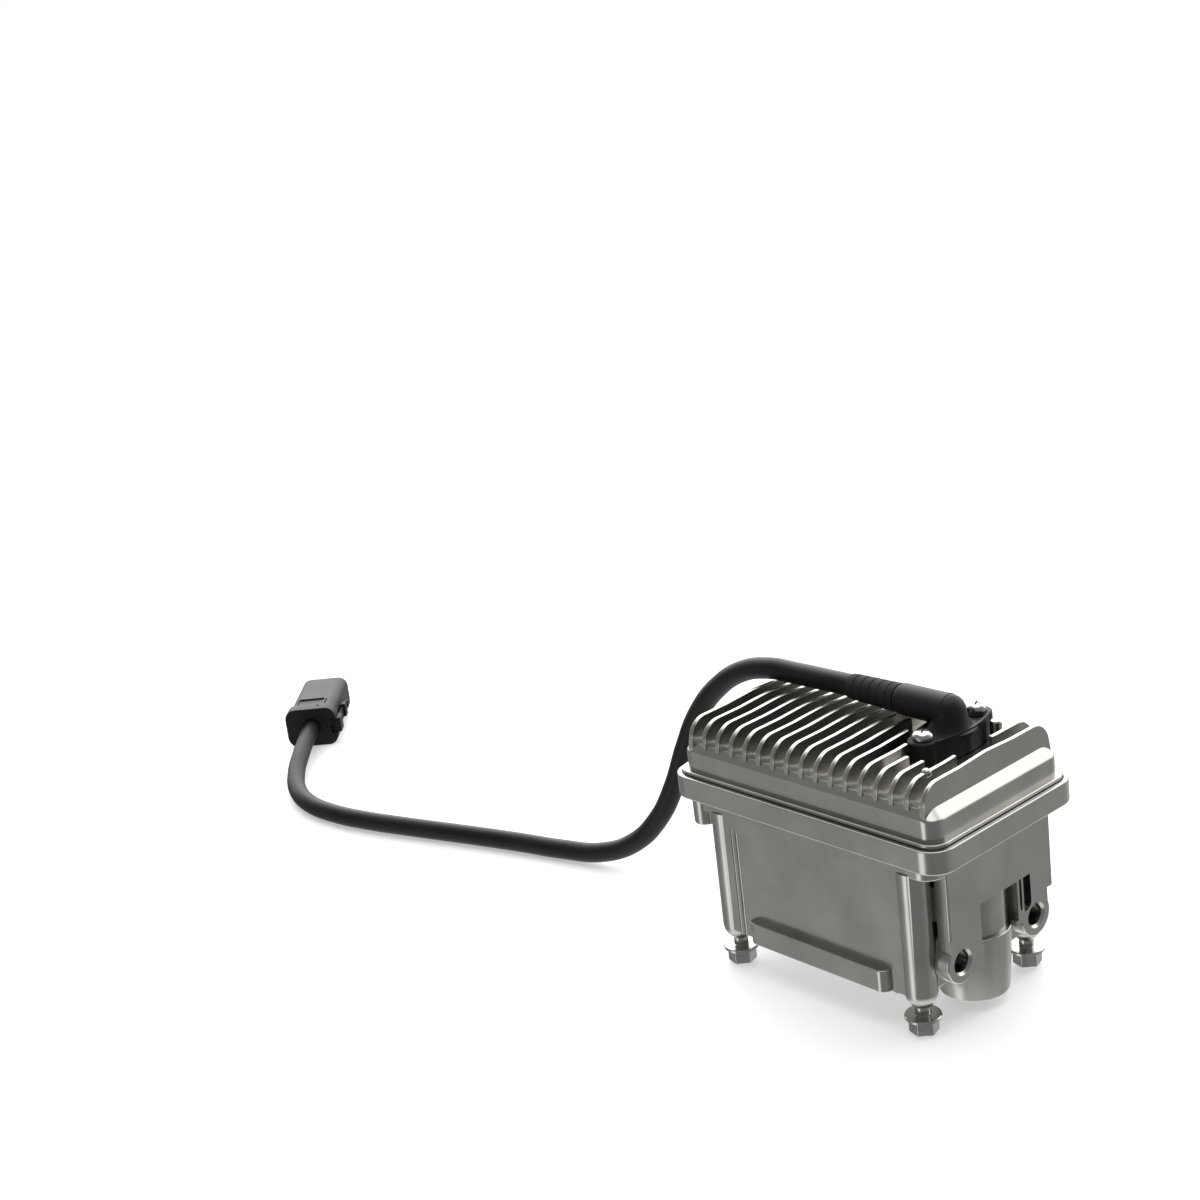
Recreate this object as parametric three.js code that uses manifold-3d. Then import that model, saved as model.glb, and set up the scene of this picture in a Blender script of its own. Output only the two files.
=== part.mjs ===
// Micro inverter: a die-cast aluminium tub and finned lid, four corner mounting bolts,
// a round output port, and an input lead that ends in a latching connector.
// Millimetres, +Z up, +X towards the output port, -Y is the front.
// The origin lies on the plane that the four bolt heads stand on, under the middle of the rim.
import * as THREE from "three";
import { mergeVertices } from "three/addons/utils/BufferGeometryUtils.js";
import Module from "manifold-3d";

const wasm = await Module();
wasm.setup();

// ---------------------------------------------------------------- driving dimensions
const fitGap = 0.3; // clearance between pieces that touch
const rimLength = 136;
const rimWidth = 84.2;
const rimRadius = 9.4;
const rimHeight = 9.5;
const bodyHeight = 66.5; // underside of the tub to the top of the rim
const castWall = 3.6;

const boltPitchInsetX = 21; // rim end to the bolt axis
const boltPitchInsetY = 10.45;
const boltDiameter = 6;
const boltReach = 5.8; // each bolt runs up its post and this far into the lid
const boltFlangeDiameter = 14.2;
const boltFlangeHeight = 1.4;
const boltHexAcrossFlats = 10;
const boltHexHeight = 6.4;
const boltStandOff = 3.8; // free shank between the flange and the post, for the mounting bracket
const postDiameter = 11.6;
const postConeHeight = 2.7;
const postConeDiameter = 7.6;
const tubStandOff = 3.9; // post end to the underside of the tub

const bandHeight = 6; // the wall band under the rim
const overhangLeft = 15.5; // rim end to the left wall
const overhangRight = 18; // rim end to the tub's right wall
const plateInset = 8; // rim end to the face of the end plate
const wallInset = 4.8; // rim side to the front and rear walls
const lugInset = 10.5; // rim end to the lid lug's axis
const panelDepth = 1.3;
const panelMargin = 8; // post axis to the border of the recessed panel
const ledgeHeight = 9.2;
const ledgeDepth = 3.8;
const ledgeInsetLeft = 18.5;
const ledgeInsetRight = 13;

const plateThickness = 6.5;
const earSpacing = 44.4;
const earHeight = 29;
const earRadius = 8.5;
const earBore = 8.4;
const plateBottom = 36;
const plateRearReach = 34.5;
const webBottomFront = 23;
const webBottomRear = 29.5;
const webReach = 11.5; // port axis to the near side of each web

const portInset = 14; // end plate face to the port's axis
const portRadiusBottom = 13.6;
const portRadiusTop = 15.8;
const portBottom = 4.5;
const portBore = 22.4;
const portDepth = 25;
const portWall = 3.2;
const portWindowBottom = 31.5;
const portWindowTop = 47.5;

const ventHeight = 47; // left wall's vent axis
const ventRadius = 4.3;
const boardPillarRadius = 3.2;
const boardScrewHole = 1.75;
const lugScrewHole = 1.8;
const lugHeadHole = 3.2;

const finPitch = 7.2875;
const finThickness = 1.8;
const finCount = 17;
const finTop = 22.2; // above the rim, at the rounded shoulders
const finCrown = 23; // above the rim, along the middle
const finCrownReach = 15.6; // where the crest starts to rise to the crown
const skirtInset = 4.35;
const skirtRadius = 6.2;
const skirtTop = 9.4; // above the rim
const deckCrown = 14.6; // above the rim
const shoulderRise = 3.6;
const lidFlangeInset = 2.2;
const lidFlangeHeight = 2.5;
const lidCeiling = 9.3; // above the rim
const rebateDepth = 2.5;
const sealHeight = 1;

const glandX = 32;
const glandY = 13;
const glandScrewSpacing = 32;
const glandEarRadius = 5.9;
const glandHubRadius = 10.4;
const glandSeat = 13.3; // above the rim
const glandFlangeHeight = 9.2;
const glandSleeveRadius = 6;
const glandSleeveReach = 23.4; // hub axis to the sleeve's mouth
const screwHeadDiameter = 8.2;
const screwHeadHeight = 2.9;
const screwDiameter = 4;

const cableDiameter = 9;
const reliefLength = 24;
const reliefMouthRadius = 5.6;

const shellWidth = 25;
const shellThickness = 19;
const shellLength = 41;
const shellWall = 2;
const collarLip = 1.2; // the collar stands this far out around the shell
const collarLength = 8;

// ---------------------------------------------------------------- places worked out from them
const boltHead = boltFlangeHeight + boltHexHeight;
const postEnd = boltHead + boltStandOff;
const tubBottom = postEnd + tubStandOff;
const rimTop = tubBottom + bodyHeight;
const rimBottom = rimTop - rimHeight;
const boltLength = rimTop + boltReach - boltHead; // under the flange
const bandBottom = rimBottom - bandHeight;
const halfLength = rimLength / 2;
const halfWidth = rimWidth / 2;
const boltX = halfLength - boltPitchInsetX;
const boltY = halfWidth - boltPitchInsetY;
const wallY = halfWidth - wallInset;
const wallLeft = -halfLength + overhangLeft;
const wallRight = halfLength - overhangRight;
const plateFace = halfLength - plateInset;
const lugX = -halfLength + lugInset;
const lugY = wallY - 3.8;
const lugRadius = 4.75;
const lugBottom = rimBottom - 12.5;
const cavityLeft = wallLeft + castWall;
const cavityRight = wallRight - castWall;
const cavityY = wallY - castWall;
const cavityFloor = tubBottom + castWall;
const chamberFloor = bandBottom + 3;
const portX = plateFace - portInset;
const portTop = portBottom + portDepth;
const skirtX = halfLength - skirtInset;
const skirtY = halfWidth - skirtInset;
const finFaceX = ((finCount - 1) / 2) * finPitch + finThickness / 2;
const finFootY = skirtY - 1.7;
const collarWidth = shellWidth + 2 * collarLip;
const collarThickness = shellThickness + 2 * collarLip;
const lidBottom = rimTop - rebateDepth + 2 * fitGap + sealHeight;
const boardZ = rimTop - 12;
const boardThickness = 1.6;
const boardHalfX = boltX - 7.5;
const boardHalfY = cavityY - 2.2;
const boardBossX = boardHalfX - 4;
const boardBossY = boardHalfY - 3.2;

// ---------------------------------------------------------------- finishes
const finish = (color, roughness, metalness) =>
  new THREE.MeshStandardMaterial({ color, roughness, metalness });
const castAluminium = finish(0x8d8b85, 0.3, 1);
const plainSteel = finish(0x9a9894, 0.28, 1);
const blackPlastic = finish(0x1b1b1c, 0.55, 0);
const blackRubber = finish(0x141414, 0.75, 0);
const greyPlastic = finish(0x4a4c4e, 0.6, 0);
const tinnedBrass = finish(0xc9a75a, 0.3, 1);
const boardGreen = finish(0x1f5a38, 0.5, 0);
const ferrite = finish(0x2b2c2e, 0.7, 0);
const copper = finish(0xb06a35, 0.4, 1);
const canBlue = finish(0x2c3f66, 0.45, 0);
const filmYellow = finish(0xc79a2c, 0.5, 0);
const padPink = finish(0xb9a7a5, 0.9, 0);

// ---------------------------------------------------------------- solid helpers
function solid(geometry) {
  const bare = geometry.clone();
  bare.deleteAttribute("normal");
  bare.deleteAttribute("uv");
  const merged = mergeVertices(bare, 1e-4);
  return new wasm.Manifold(
    new wasm.Mesh({
      numProp: 3,
      vertProperties: new Float32Array(merged.attributes.position.array),
      triVerts: new Uint32Array(merged.index.array),
    }),
  );
}

function geometryOf(body) {
  const mesh = body.getMesh();
  const geometry = new THREE.BufferGeometry();
  const points = new Float32Array(mesh.numVert * 3);
  for (let i = 0; i < mesh.numVert; i++)
    for (let k = 0; k < 3; k++) points[3 * i + k] = mesh.vertProperties[mesh.numProp * i + k];
  geometry.setAttribute("position", new THREE.BufferAttribute(points, 3));
  geometry.setIndex(new THREE.BufferAttribute(new Uint32Array(mesh.triVerts), 1));
  geometry.computeVertexNormals();
  return geometry;
}

const join = (...bodies) => bodies.reduce((all, body) => all.add(body));
const cut = (body, ...tools) => tools.reduce((rest, tool) => rest.subtract(tool), body);

function rectangle(x0, x1, y0, y1, radius) {
  const r = Math.max(radius, 0.01);
  const shape = new THREE.Shape();
  shape.moveTo(x0 + r, y0);
  shape.lineTo(x1 - r, y0);
  shape.absarc(x1 - r, y0 + r, r, -Math.PI / 2, 0);
  shape.lineTo(x1, y1 - r);
  shape.absarc(x1 - r, y1 - r, r, 0, Math.PI / 2);
  shape.lineTo(x0 + r, y1);
  shape.absarc(x0 + r, y1 - r, r, Math.PI / 2, Math.PI);
  shape.lineTo(x0, y0 + r);
  shape.absarc(x0 + r, y0 + r, r, Math.PI, 1.5 * Math.PI);
  return shape;
}

// A flat outline raised from z0 to z1.
function raised(shape, z0, z1, curveSegments = 6) {
  const geometry = new THREE.ExtrudeGeometry(shape, {
    depth: z1 - z0,
    bevelEnabled: false,
    curveSegments,
  });
  return geometry.translate(0, 0, z0);
}

const slab = (x0, x1, y0, y1, radius, z0, z1, segments = 3) =>
  solid(raised(rectangle(x0, x1, y0, y1, radius), z0, z1, segments));

function block(x0, x1, y0, y1, z0, z1) {
  const geometry = new THREE.BoxGeometry(x1 - x0, y1 - y0, z1 - z0);
  geometry.translate((x0 + x1) / 2, (y0 + y1) / 2, (z0 + z1) / 2);
  return solid(geometry);
}

// An upright cone or cylinder.
function pin(x, y, z0, z1, r0, r1 = r0, segments = 20) {
  const geometry = new THREE.CylinderGeometry(r1, r0, z1 - z0, segments);
  geometry.rotateX(Math.PI / 2).translate(x, y, (z0 + z1) / 2);
  return solid(geometry);
}

// A cylinder along X.
function rodX(x0, x1, y, z, r0, r1 = r0, segments = 20) {
  const geometry = new THREE.CylinderGeometry(r1, r0, x1 - x0, segments);
  geometry.rotateZ(-Math.PI / 2).translate((x0 + x1) / 2, y, z);
  return solid(geometry);
}

// An outline drawn in Y and Z, carried along X from x0 to x1.
function alongX(shape, x0, x1, curveSegments = 6) {
  const geometry = new THREE.ExtrudeGeometry(shape, {
    depth: x1 - x0,
    bevelEnabled: false,
    curveSegments,
  });
  const turn = new THREE.Matrix4().set(0, 0, 1, x0, 1, 0, 0, 0, 0, 1, 0, 0, 0, 0, 0, 1);
  return solid(geometry.applyMatrix4(turn));
}

function lathed(profile, segments = 32) {
  const points = profile.map(([radius, height]) => new THREE.Vector2(radius, height));
  return solid(new THREE.LatheGeometry(points, segments).rotateX(Math.PI / 2));
}

const corners = [
  ["front_left", -1, -1],
  ["front_right", 1, -1],
  ["rear_left", -1, 1],
  ["rear_right", 1, 1],
];

const assembly = new THREE.Group();
assembly.name = "micro_inverter";

function place(name, body, material, parent = assembly) {
  const mesh = new THREE.Mesh(geometryOf(body), material);
  mesh.name = name;
  parent.add(mesh);
  return mesh;
}

// ---------------------------------------------------------------- base housing
function postSolids() {
  return corners.map(([, sx, sy]) =>
    join(
      pin(sx * boltX, sy * boltY, postEnd + postConeHeight, rimBottom + 1, postDiameter / 2),
      pin(
        sx * boltX,
        sy * boltY,
        postEnd,
        postEnd + postConeHeight,
        postConeDiameter / 2,
        postDiameter / 2,
      ),
    ),
  );
}

function endPlate() {
  const plate = block(
    plateFace - plateThickness,
    plateFace,
    -earSpacing / 2 - earRadius,
    plateRearReach,
    plateBottom,
    bandBottom + 1,
  );
  const ears = [-1, 1].map((side) =>
    join(
      rodX(plateFace - plateThickness, plateFace, (side * earSpacing) / 2, earHeight, earRadius),
      block(
        plateFace - plateThickness,
        plateFace,
        (side * earSpacing) / 2 - earRadius,
        (side * earSpacing) / 2 + earRadius,
        earHeight,
        plateBottom + 1,
      ),
    ),
  );
  const webs = [[-1, webBottomFront], [1, webBottomRear]].map(([side, bottom]) =>
    block(
      plateFace - plateThickness,
      plateFace,
      Math.min(side * webReach, (side * earSpacing) / 2),
      Math.max(side * webReach, (side * earSpacing) / 2),
      bottom,
      plateBottom + 1,
    ),
  );
  // Short ribs carry the plate's foot back to the tub's right wall.
  const ribs = [-1, 1].map((side) =>
    block(
      wallRight - 1,
      plateFace - plateThickness + 1,
      side * 26 - 2,
      side * 26 + 2,
      plateBottom + 10,
      bandBottom + 1,
    ),
  );
  return join(plate, ...ears, ...webs, ...ribs);
}

function baseHousing() {
  const rim = slab(
    -halfLength, halfLength, -halfWidth, halfWidth, rimRadius, rimBottom, rimTop, 5);
  const band = slab(
    wallLeft - 10, plateFace, -wallY, wallY, 7, bandBottom, rimBottom + 1, 4);
  const tub = slab(wallLeft, wallRight, -wallY, wallY, 5, tubBottom, bandBottom + 1);
  const port = pin(portX, 0, portBottom, bandBottom + 1, portRadiusBottom, portRadiusTop, 28);
  const lugs = [-1, 1].map((side) =>
    pin(lugX, side * lugY, lugBottom, rimBottom + 1, lugRadius, lugRadius, 14),
  );
  const ledge = slab(
    -boltX + ledgeInsetLeft - 5.5,
    boltX - ledgeInsetRight + 2.5,
    -wallY + panelDepth - ledgeDepth,
    -wallY + 6,
    3.7,
    tubBottom,
    tubBottom + ledgeHeight,
  );
  let body = join(rim, band, tub, port, ...postSolids(), ...lugs, endPlate());
  body = cut(body, ...panelCuts());
  body = join(body, ledge);
  body = cut(body, cavitySolid(), upperChamber(), ...portCuts(), ...earCuts(), platePocket());
  return cut(body, ...fastenerHoles());
}

// Shallow panels in the front, rear and left walls, open at the bottom.
function panelCuts() {
  const x = boltX - panelMargin + 0.5;
  const top = bandBottom - 4.6;
  const sides = [-1, 1].map((side) => {
    const face = side * wallY;
    const inner = side * (wallY - panelDepth);
    return block(-x, x, Math.min(face, inner) - (side < 0 ? 1 : 0),
      Math.max(face, inner) + (side > 0 ? 1 : 0), tubBottom - 1, top);
  });
  const y = boltY - panelMargin;
  return [...sides, block(wallLeft - 1, wallLeft + panelDepth, -y, y, tubBottom - 1, top)];
}

// The main cavity leaves the four posts, the port's tower and the board pillars standing.
function cavitySolid() {
  const room = slab(
    cavityLeft, cavityRight, -cavityY, cavityY, 3, cavityFloor, chamberFloor + 1, 2);
  const tower = pin(portX, 0, cavityFloor - 1, portTop + portWall, portBore / 2 + portWall);
  const wallBack = pin(
    portX, 0, cavityFloor - 1, chamberFloor + 2, portBore / 2 + portWall, portBore / 2 + portWall);
  const shelf = wallBack.intersect(
    block(cavityRight - 2.5, cavityRight + 20, -30, 30, cavityFloor - 1, chamberFloor + 2));
  const posts = corners.map(([, sx, sy]) =>
    pin(sx * boltX, sy * boltY, cavityFloor - 1, chamberFloor + 2, postDiameter / 2));
  const pillars = corners.map(([, sx, sy]) =>
    join(
      pin(sx * boardBossX, sy * boardBossY, cavityFloor - 1, boardZ - fitGap,
        boardPillarRadius, boardPillarRadius, 10),
      block(
        sx * boardBossX - 1.2,
        sx * boardBossX + 1.2,
        Math.min(sy * boardBossY, sy * (cavityY + 2)),
        Math.max(sy * boardBossY, sy * (cavityY + 2)),
        cavityFloor - 1,
        boardZ - fitGap,
      ),
    ),
  );
  return cut(room, tower, shelf, ...posts, ...pillars);
}

// A wider chamber under the lid, and the rebate that the lid's flange drops into.
function upperChamber() {
  const chamber = slab(
    wallLeft - 6, wallRight + 6, -cavityY, cavityY, 4, chamberFloor, rimTop + 1, 2);
  const keep = [
    ...corners.map(([, sx, sy]) =>
      pin(sx * boltX, sy * boltY, chamberFloor - 1, rimTop - rebateDepth, postDiameter / 2)),
    ...[-1, 1].map((side) =>
      pin(lugX, side * lugY, chamberFloor - 1, rimTop - rebateDepth, lugRadius, lugRadius, 14)),
    ...corners.map(([, sx, sy]) =>
      pin(sx * boardBossX, sy * boardBossY, chamberFloor - 1, boardZ - fitGap,
        boardPillarRadius, boardPillarRadius, 10)),
  ];
  const inset = lidFlangeInset - 2 * fitGap + 0.1;
  const rebate = slab(
    -halfLength + inset,
    halfLength - inset,
    -halfWidth + inset,
    halfWidth - inset,
    rimRadius - inset,
    rimTop - rebateDepth,
    rimTop + 1,
    4,
  );
  return join(cut(chamber, ...keep), rebate);
}

function portCuts() {
  const socket = pin(portX, 0, portBottom - 1, portTop, portBore / 2, portBore / 2, 28);
  const wires = pin(portX, 0, portTop - 1, portTop + portWall + 1, 7, 7, 16);
  const window = cut(
    block(portX + 4, plateFace + 6, -10.5, 11.5, portWindowBottom, portWindowTop),
    pin(portX, 0, portWindowBottom - 1, portWindowTop + 1, portRadiusBottom + 0.6),
  );
  return [socket, wires, window];
}

function earCuts() {
  return [-1, 1].map((side) => {
    const y = (side * earSpacing) / 2;
    const x0 = plateFace - plateThickness;
    return join(
      rodX(x0 - 1, plateFace + 1, y, earHeight, earBore / 2),
      rodX(plateFace - 0.9, plateFace + 0.1, y, earHeight, earBore / 2, earBore / 2 + 1),
    );
  });
}

// A cored pocket between the port and the rear ear, with one upright rib in it.
function platePocket() {
  const pocket = block(
    plateFace - plateThickness + 1, plateFace + 1, 12.8, 19.4, webBottomRear + 4, portWindowTop);
  const rib = block(plateFace - plateThickness, plateFace - 1.2, 15.6, 16.8, 30, 50);
  return cut(pocket, rib);
}

function fastenerHoles() {
  const boltHoles = corners.map(([, sx, sy]) =>
    pin(sx * boltX, sy * boltY, postEnd - 1, rimTop, boltDiameter / 2 + fitGap,
      boltDiameter / 2 + fitGap, 14));
  const lugHoles = [-1, 1].map((side) =>
    join(
      pin(lugX, side * lugY, lugBottom - 1, lugBottom + 3, lugHeadHole, lugHeadHole, 12),
      pin(lugX, side * lugY, lugBottom + 2, rimTop, lugScrewHole, lugScrewHole, 10),
    ));
  const boardHoles = corners.map(([, sx, sy]) =>
    pin(sx * boardBossX, sy * boardBossY, boardZ - 12, boardZ + 1, boardScrewHole,
      boardScrewHole, 8));
  const vent = rodX(
    wallLeft - 2, cavityLeft + 1, 0, ventHeight, ventRadius, ventRadius, 14);
  return [...boltHoles, ...lugHoles, ...boardHoles, vent];
}

place("base_housing", baseHousing(), castAluminium);

// ---------------------------------------------------------------- lid
function deckOutline(crown, base) {
  const rise = crown - base;
  const shape = new THREE.Shape();
  const half = skirtY - 0.15;
  shape.moveTo(-half, base - 4);
  const steps = 10;
  for (let i = 0; i <= steps; i++) {
    const angle = Math.PI - (Math.PI * i) / steps;
    shape.lineTo(half * Math.cos(angle), base + rise * Math.sin(angle) ** 0.75);
  }
  shape.lineTo(half, base - 4);
  return shape;
}

function finOutline() {
  const shape = new THREE.Shape();
  const foot = rimTop + skirtTop;
  const top = rimTop + finTop;
  const crown = rimTop + finCrown;
  const flat = skirtY - 10;
  shape.moveTo(-skirtY + 0.2, foot - 3);
  shape.lineTo(-skirtY + 0.1, foot);
  shape.lineTo(-finFootY, foot + shoulderRise);
  shape.lineTo(-finFootY + 0.7, foot + shoulderRise + 4);
  shape.quadraticCurveTo(-finFootY + 1.6, top - 0.2, -flat, top);
  shape.lineTo(-finCrownReach, top);
  shape.lineTo(0, crown);
  shape.lineTo(finCrownReach, top);
  shape.lineTo(flat, top);
  shape.quadraticCurveTo(finFootY - 1.6, top - 0.2, finFootY - 0.7, foot + shoulderRise + 4);
  shape.lineTo(finFootY, foot + shoulderRise);
  shape.lineTo(skirtY - 0.1, foot);
  shape.lineTo(skirtY - 0.2, foot - 3);
  return shape;
}

// The sloping shoulder between the skirt and the end fins.
function shoulder() {
  const z0 = rimTop + skirtTop - 0.5;
  const z1 = rimTop + skirtTop + shoulderRise;
  const lower = rectangle(-skirtX, skirtX, -skirtY, skirtY, skirtRadius).getPoints(4);
  const upper = rectangle(-finFaceX, finFaceX, -finFootY, finFootY, 3).getPoints(4);
  const count = lower.length;
  const points = [];
  for (const p of lower) points.push(p.x, p.y, z0);
  for (const p of upper) points.push(p.x, p.y, z1);
  points.push(0, 0, z0, 0, 0, z1);
  const faces = [];
  for (let i = 0; i < count; i++) {
    const j = (i + 1) % count;
    faces.push(i, j, count + j, i, count + j, count + i);
    faces.push(2 * count, j, i, 2 * count + 1, count + i, count + j);
  }
  const geometry = new THREE.BufferGeometry();
  geometry.setAttribute("position", new THREE.Float32BufferAttribute(points, 3));
  geometry.setIndex(faces);
  return solid(geometry);
}

// The fins stop around the gland, step by step from fin to fin. Behind the sleeve the two
// fins on the left go on to the rear.
function glandPocket() {
  const earEnd = glandY - glandScrewSpacing / 2 - glandEarRadius;
  const steps = [
    [glandX - 20.6, glandY - 2.5],
    [glandX - 13.4, glandY - glandScrewSpacing / 2 + 3.1],
    [glandX - 7.3, earEnd - 0.5],
    [glandX + 0.8, earEnd - 8.7],
    [glandX + 15.4, earEnd + 0.4],
  ];
  const right = glandX + 22.6;
  const stubStart = glandY - 0.3; // the last fin but one stands again behind the gland
  const stubSide = glandX + 17;
  const rear = halfWidth + 1;
  const sleeveSide = glandY + glandSleeveRadius + 2.4;
  const shape = new THREE.Shape();
  shape.moveTo(steps[0][0], sleeveSide);
  steps.forEach(([x, y], i) => {
    if (i > 0) shape.lineTo(x, steps[i - 1][1]);
    shape.lineTo(x, y);
  });
  shape.lineTo(right, steps[4][1]);
  shape.lineTo(right, stubStart);
  shape.lineTo(stubSide, stubStart);
  shape.lineTo(stubSide, rear);
  shape.lineTo(glandX - glandHubRadius + 1.4, rear);
  shape.lineTo(glandX - glandHubRadius + 1.4, sleeveSide);
  return solid(raised(shape, rimTop + glandSeat, rimTop + finCrown + 5, 4));
}

function lid() {
  const flange = slab(
    -halfLength + lidFlangeInset,
    halfLength - lidFlangeInset,
    -halfWidth + lidFlangeInset,
    halfWidth - lidFlangeInset,
    rimRadius - lidFlangeInset,
    lidBottom,
    lidBottom + lidFlangeHeight,
    5,
  );
  const skirt = slab(
    -skirtX, skirtX, -skirtY, skirtY, skirtRadius, lidBottom + 1, rimTop + skirtTop, 4);
  const ends = [-1, 1].map((side) =>
    shoulder().intersect(
      block(
        Math.min(side * (finFaceX - finThickness), side * (halfLength + 1)),
        Math.max(side * (finFaceX - finThickness), side * (halfLength + 1)),
        -halfWidth,
        halfWidth,
        rimTop,
        rimTop + 40,
      ),
    ));
  const deck = alongX(
    deckOutline(rimTop + deckCrown, rimTop + skirtTop), -finFaceX + 0.2, finFaceX - 0.2, 2);
  let fins = null;
  for (let i = 0; i < finCount; i++) {
    const x = (i - (finCount - 1) / 2) * finPitch;
    const fin = alongX(finOutline(), x - finThickness / 2, x + finThickness / 2, 3);
    fins = fins ? fins.add(fin) : fin;
  }
  fins = cut(fins, glandPocket());
  const seat = join(
    pin(glandX, glandY, rimTop + skirtTop, rimTop + glandSeat, glandHubRadius + 0.6),
    ...[-1, 1].map((side) =>
      pin(glandX, glandY + (side * glandScrewSpacing) / 2, rimTop + skirtTop,
        rimTop + glandSeat, glandEarRadius + 0.2, glandEarRadius + 0.2, 16)),
  );
  const pillar = pin(
    glandX + 9.6, glandY + 15, rimTop + skirtTop, rimTop + glandSeat + 8, 2.4, 2.1, 10);
  const ball = solid(new THREE.SphereGeometry(1.7, 10, 6)
    .translate((finCount - 3) / 2 * finPitch, -24.4, rimTop + finTop - 0.6));
  const outer = join(
    flange, skirt, ...ends, cut(deck, glandPocket()), fins, seat, pillar, ball);
  return cut(outer, lidHollow(), ...lidHoles());
}

function lidHollow() {
  const hollow = slab(
    -skirtX + 4.6, skirtX - 4.6, -skirtY + 3.6, skirtY - 3.6, 4, lidBottom - 1,
    rimTop + lidCeiling);
  const screwBosses = [-1, 1].map((side) =>
    pin(lugX, side * lugY, lidBottom - 2, rimTop + lidCeiling + 1, 4, 4, 16));
  const boltBosses = corners.map(([, sx, sy]) =>
    pin(sx * boltX, sy * boltY, lidBottom - 2, rimTop + lidCeiling + 1, postDiameter / 2,
      postDiameter / 2, 16));
  const spreader = block(
    -boardHalfX + 3, boardHalfX - 8, -boardHalfY + 7, -boardHalfY + 28,
    padTop() + fitGap, rimTop + lidCeiling + 1);
  return cut(hollow, ...screwBosses, ...boltBosses, spreader);
}

function lidHoles() {
  const screws = [-1, 1].map((side) =>
    pin(lugX, side * lugY, lidBottom - 1, rimTop + 6, lugScrewHole, lugScrewHole, 12));
  const bolts = corners.map(([, sx, sy]) =>
    pin(sx * boltX, sy * boltY, lidBottom - 1, boltHead + boltLength + boltStandOff + fitGap,
      boltDiameter / 2 + fitGap, boltDiameter / 2 + fitGap, 14));
  const cableHole = pin(
    glandX, glandY, rimTop + 2, rimTop + glandSeat + 1, 5, 5, 16);
  const glandScrews = [-1, 1].map((side) =>
    pin(glandX, glandY + (side * glandScrewSpacing) / 2, rimTop + glandSeat - 3,
      rimTop + glandSeat + 1, screwDiameter / 2 + fitGap, screwDiameter / 2 + fitGap, 10));
  return [...screws, ...bolts, cableHole, ...glandScrews];
}

const transistorHeight = 4.7;
const padHeight = 0.9;
function padTop() {
  return boardZ + boardThickness + fitGap + transistorHeight + fitGap + padHeight;
}

place("finned_lid", lid(), castAluminium);

function lidSeal() {
  const outer = 3.2;
  const inner = 6.4;
  const ring = (inset, z0, z1) =>
    slab(-halfLength + inset, halfLength - inset, -halfWidth + inset, halfWidth - inset,
      rimRadius - Math.min(inset, 5), z0, z1, 4);
  const z0 = rimTop - rebateDepth + fitGap;
  return cut(ring(outer, z0, z0 + sealHeight), ring(inner, z0 - 1, z0 + sealHeight + 1));
}
place("lid_seal", lidSeal(), blackRubber);

// ---------------------------------------------------------------- fasteners
function hexagon(acrossFlats) {
  const shape = new THREE.Shape();
  const radius = acrossFlats / Math.sqrt(3);
  for (let i = 0; i < 6; i++) {
    const angle = (i * Math.PI) / 3 + Math.PI / 12;
    const point = [radius * Math.cos(angle), radius * Math.sin(angle)];
    if (i === 0) shape.moveTo(...point);
    else shape.lineTo(...point);
  }
  return shape;
}

function mountingBolt() {
  const hex = solid(raised(hexagon(boltHexAcrossFlats), 0, boltHexHeight + 0.2));
  const rest = boltLength + boltHead;
  const flangeRadius = boltFlangeDiameter / 2;
  const radius = boltDiameter / 2;
  const turned = lathed([
    [0, boltHexHeight], [flangeRadius, boltHexHeight], [flangeRadius, boltHead - 0.5],
    [flangeRadius - 0.6, boltHead], [radius, boltHead], [radius, rest - 1],
    [radius - 0.9, rest], [0, rest],
  ], 20);
  return join(hex, turned);
}

for (const [corner, sx, sy] of corners) {
  const bolt = place(`mounting_bolt_${corner}`, mountingBolt(), plainSteel);
  bolt.position.set(sx * boltX, sy * boltY, 0);
}

// A small screw whose head is at the bottom, or at the top when it is turned over.
function panScrew(headRadius, headHeight, shankRadius, length) {
  return lathed([
    [0, -headHeight],
    [headRadius * 0.8, -headHeight],
    [headRadius, -headHeight * 0.5],
    [headRadius, 0],
    [shankRadius, 0],
    [shankRadius, length],
    [0, length],
  ], 12);
}

function crossRecess(radius, depth, width) {
  return join(
    block(-radius, radius, -width / 2, width / 2, -20, depth),
    block(-width / 2, width / 2, -radius, radius, -20, depth),
  );
}

for (const [side, sign] of [["front", -1], ["rear", 1]]) {
  const head = lugBottom + 3 - fitGap;
  const screw = cut(panScrew(2.8, 2.2, 1.5, 20), crossRecess(1.4, -1.2, 0.6));
  place(`lid_screw_${side}`, screw, plainSteel).position.set(lugX, sign * lugY, head);
}

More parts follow.
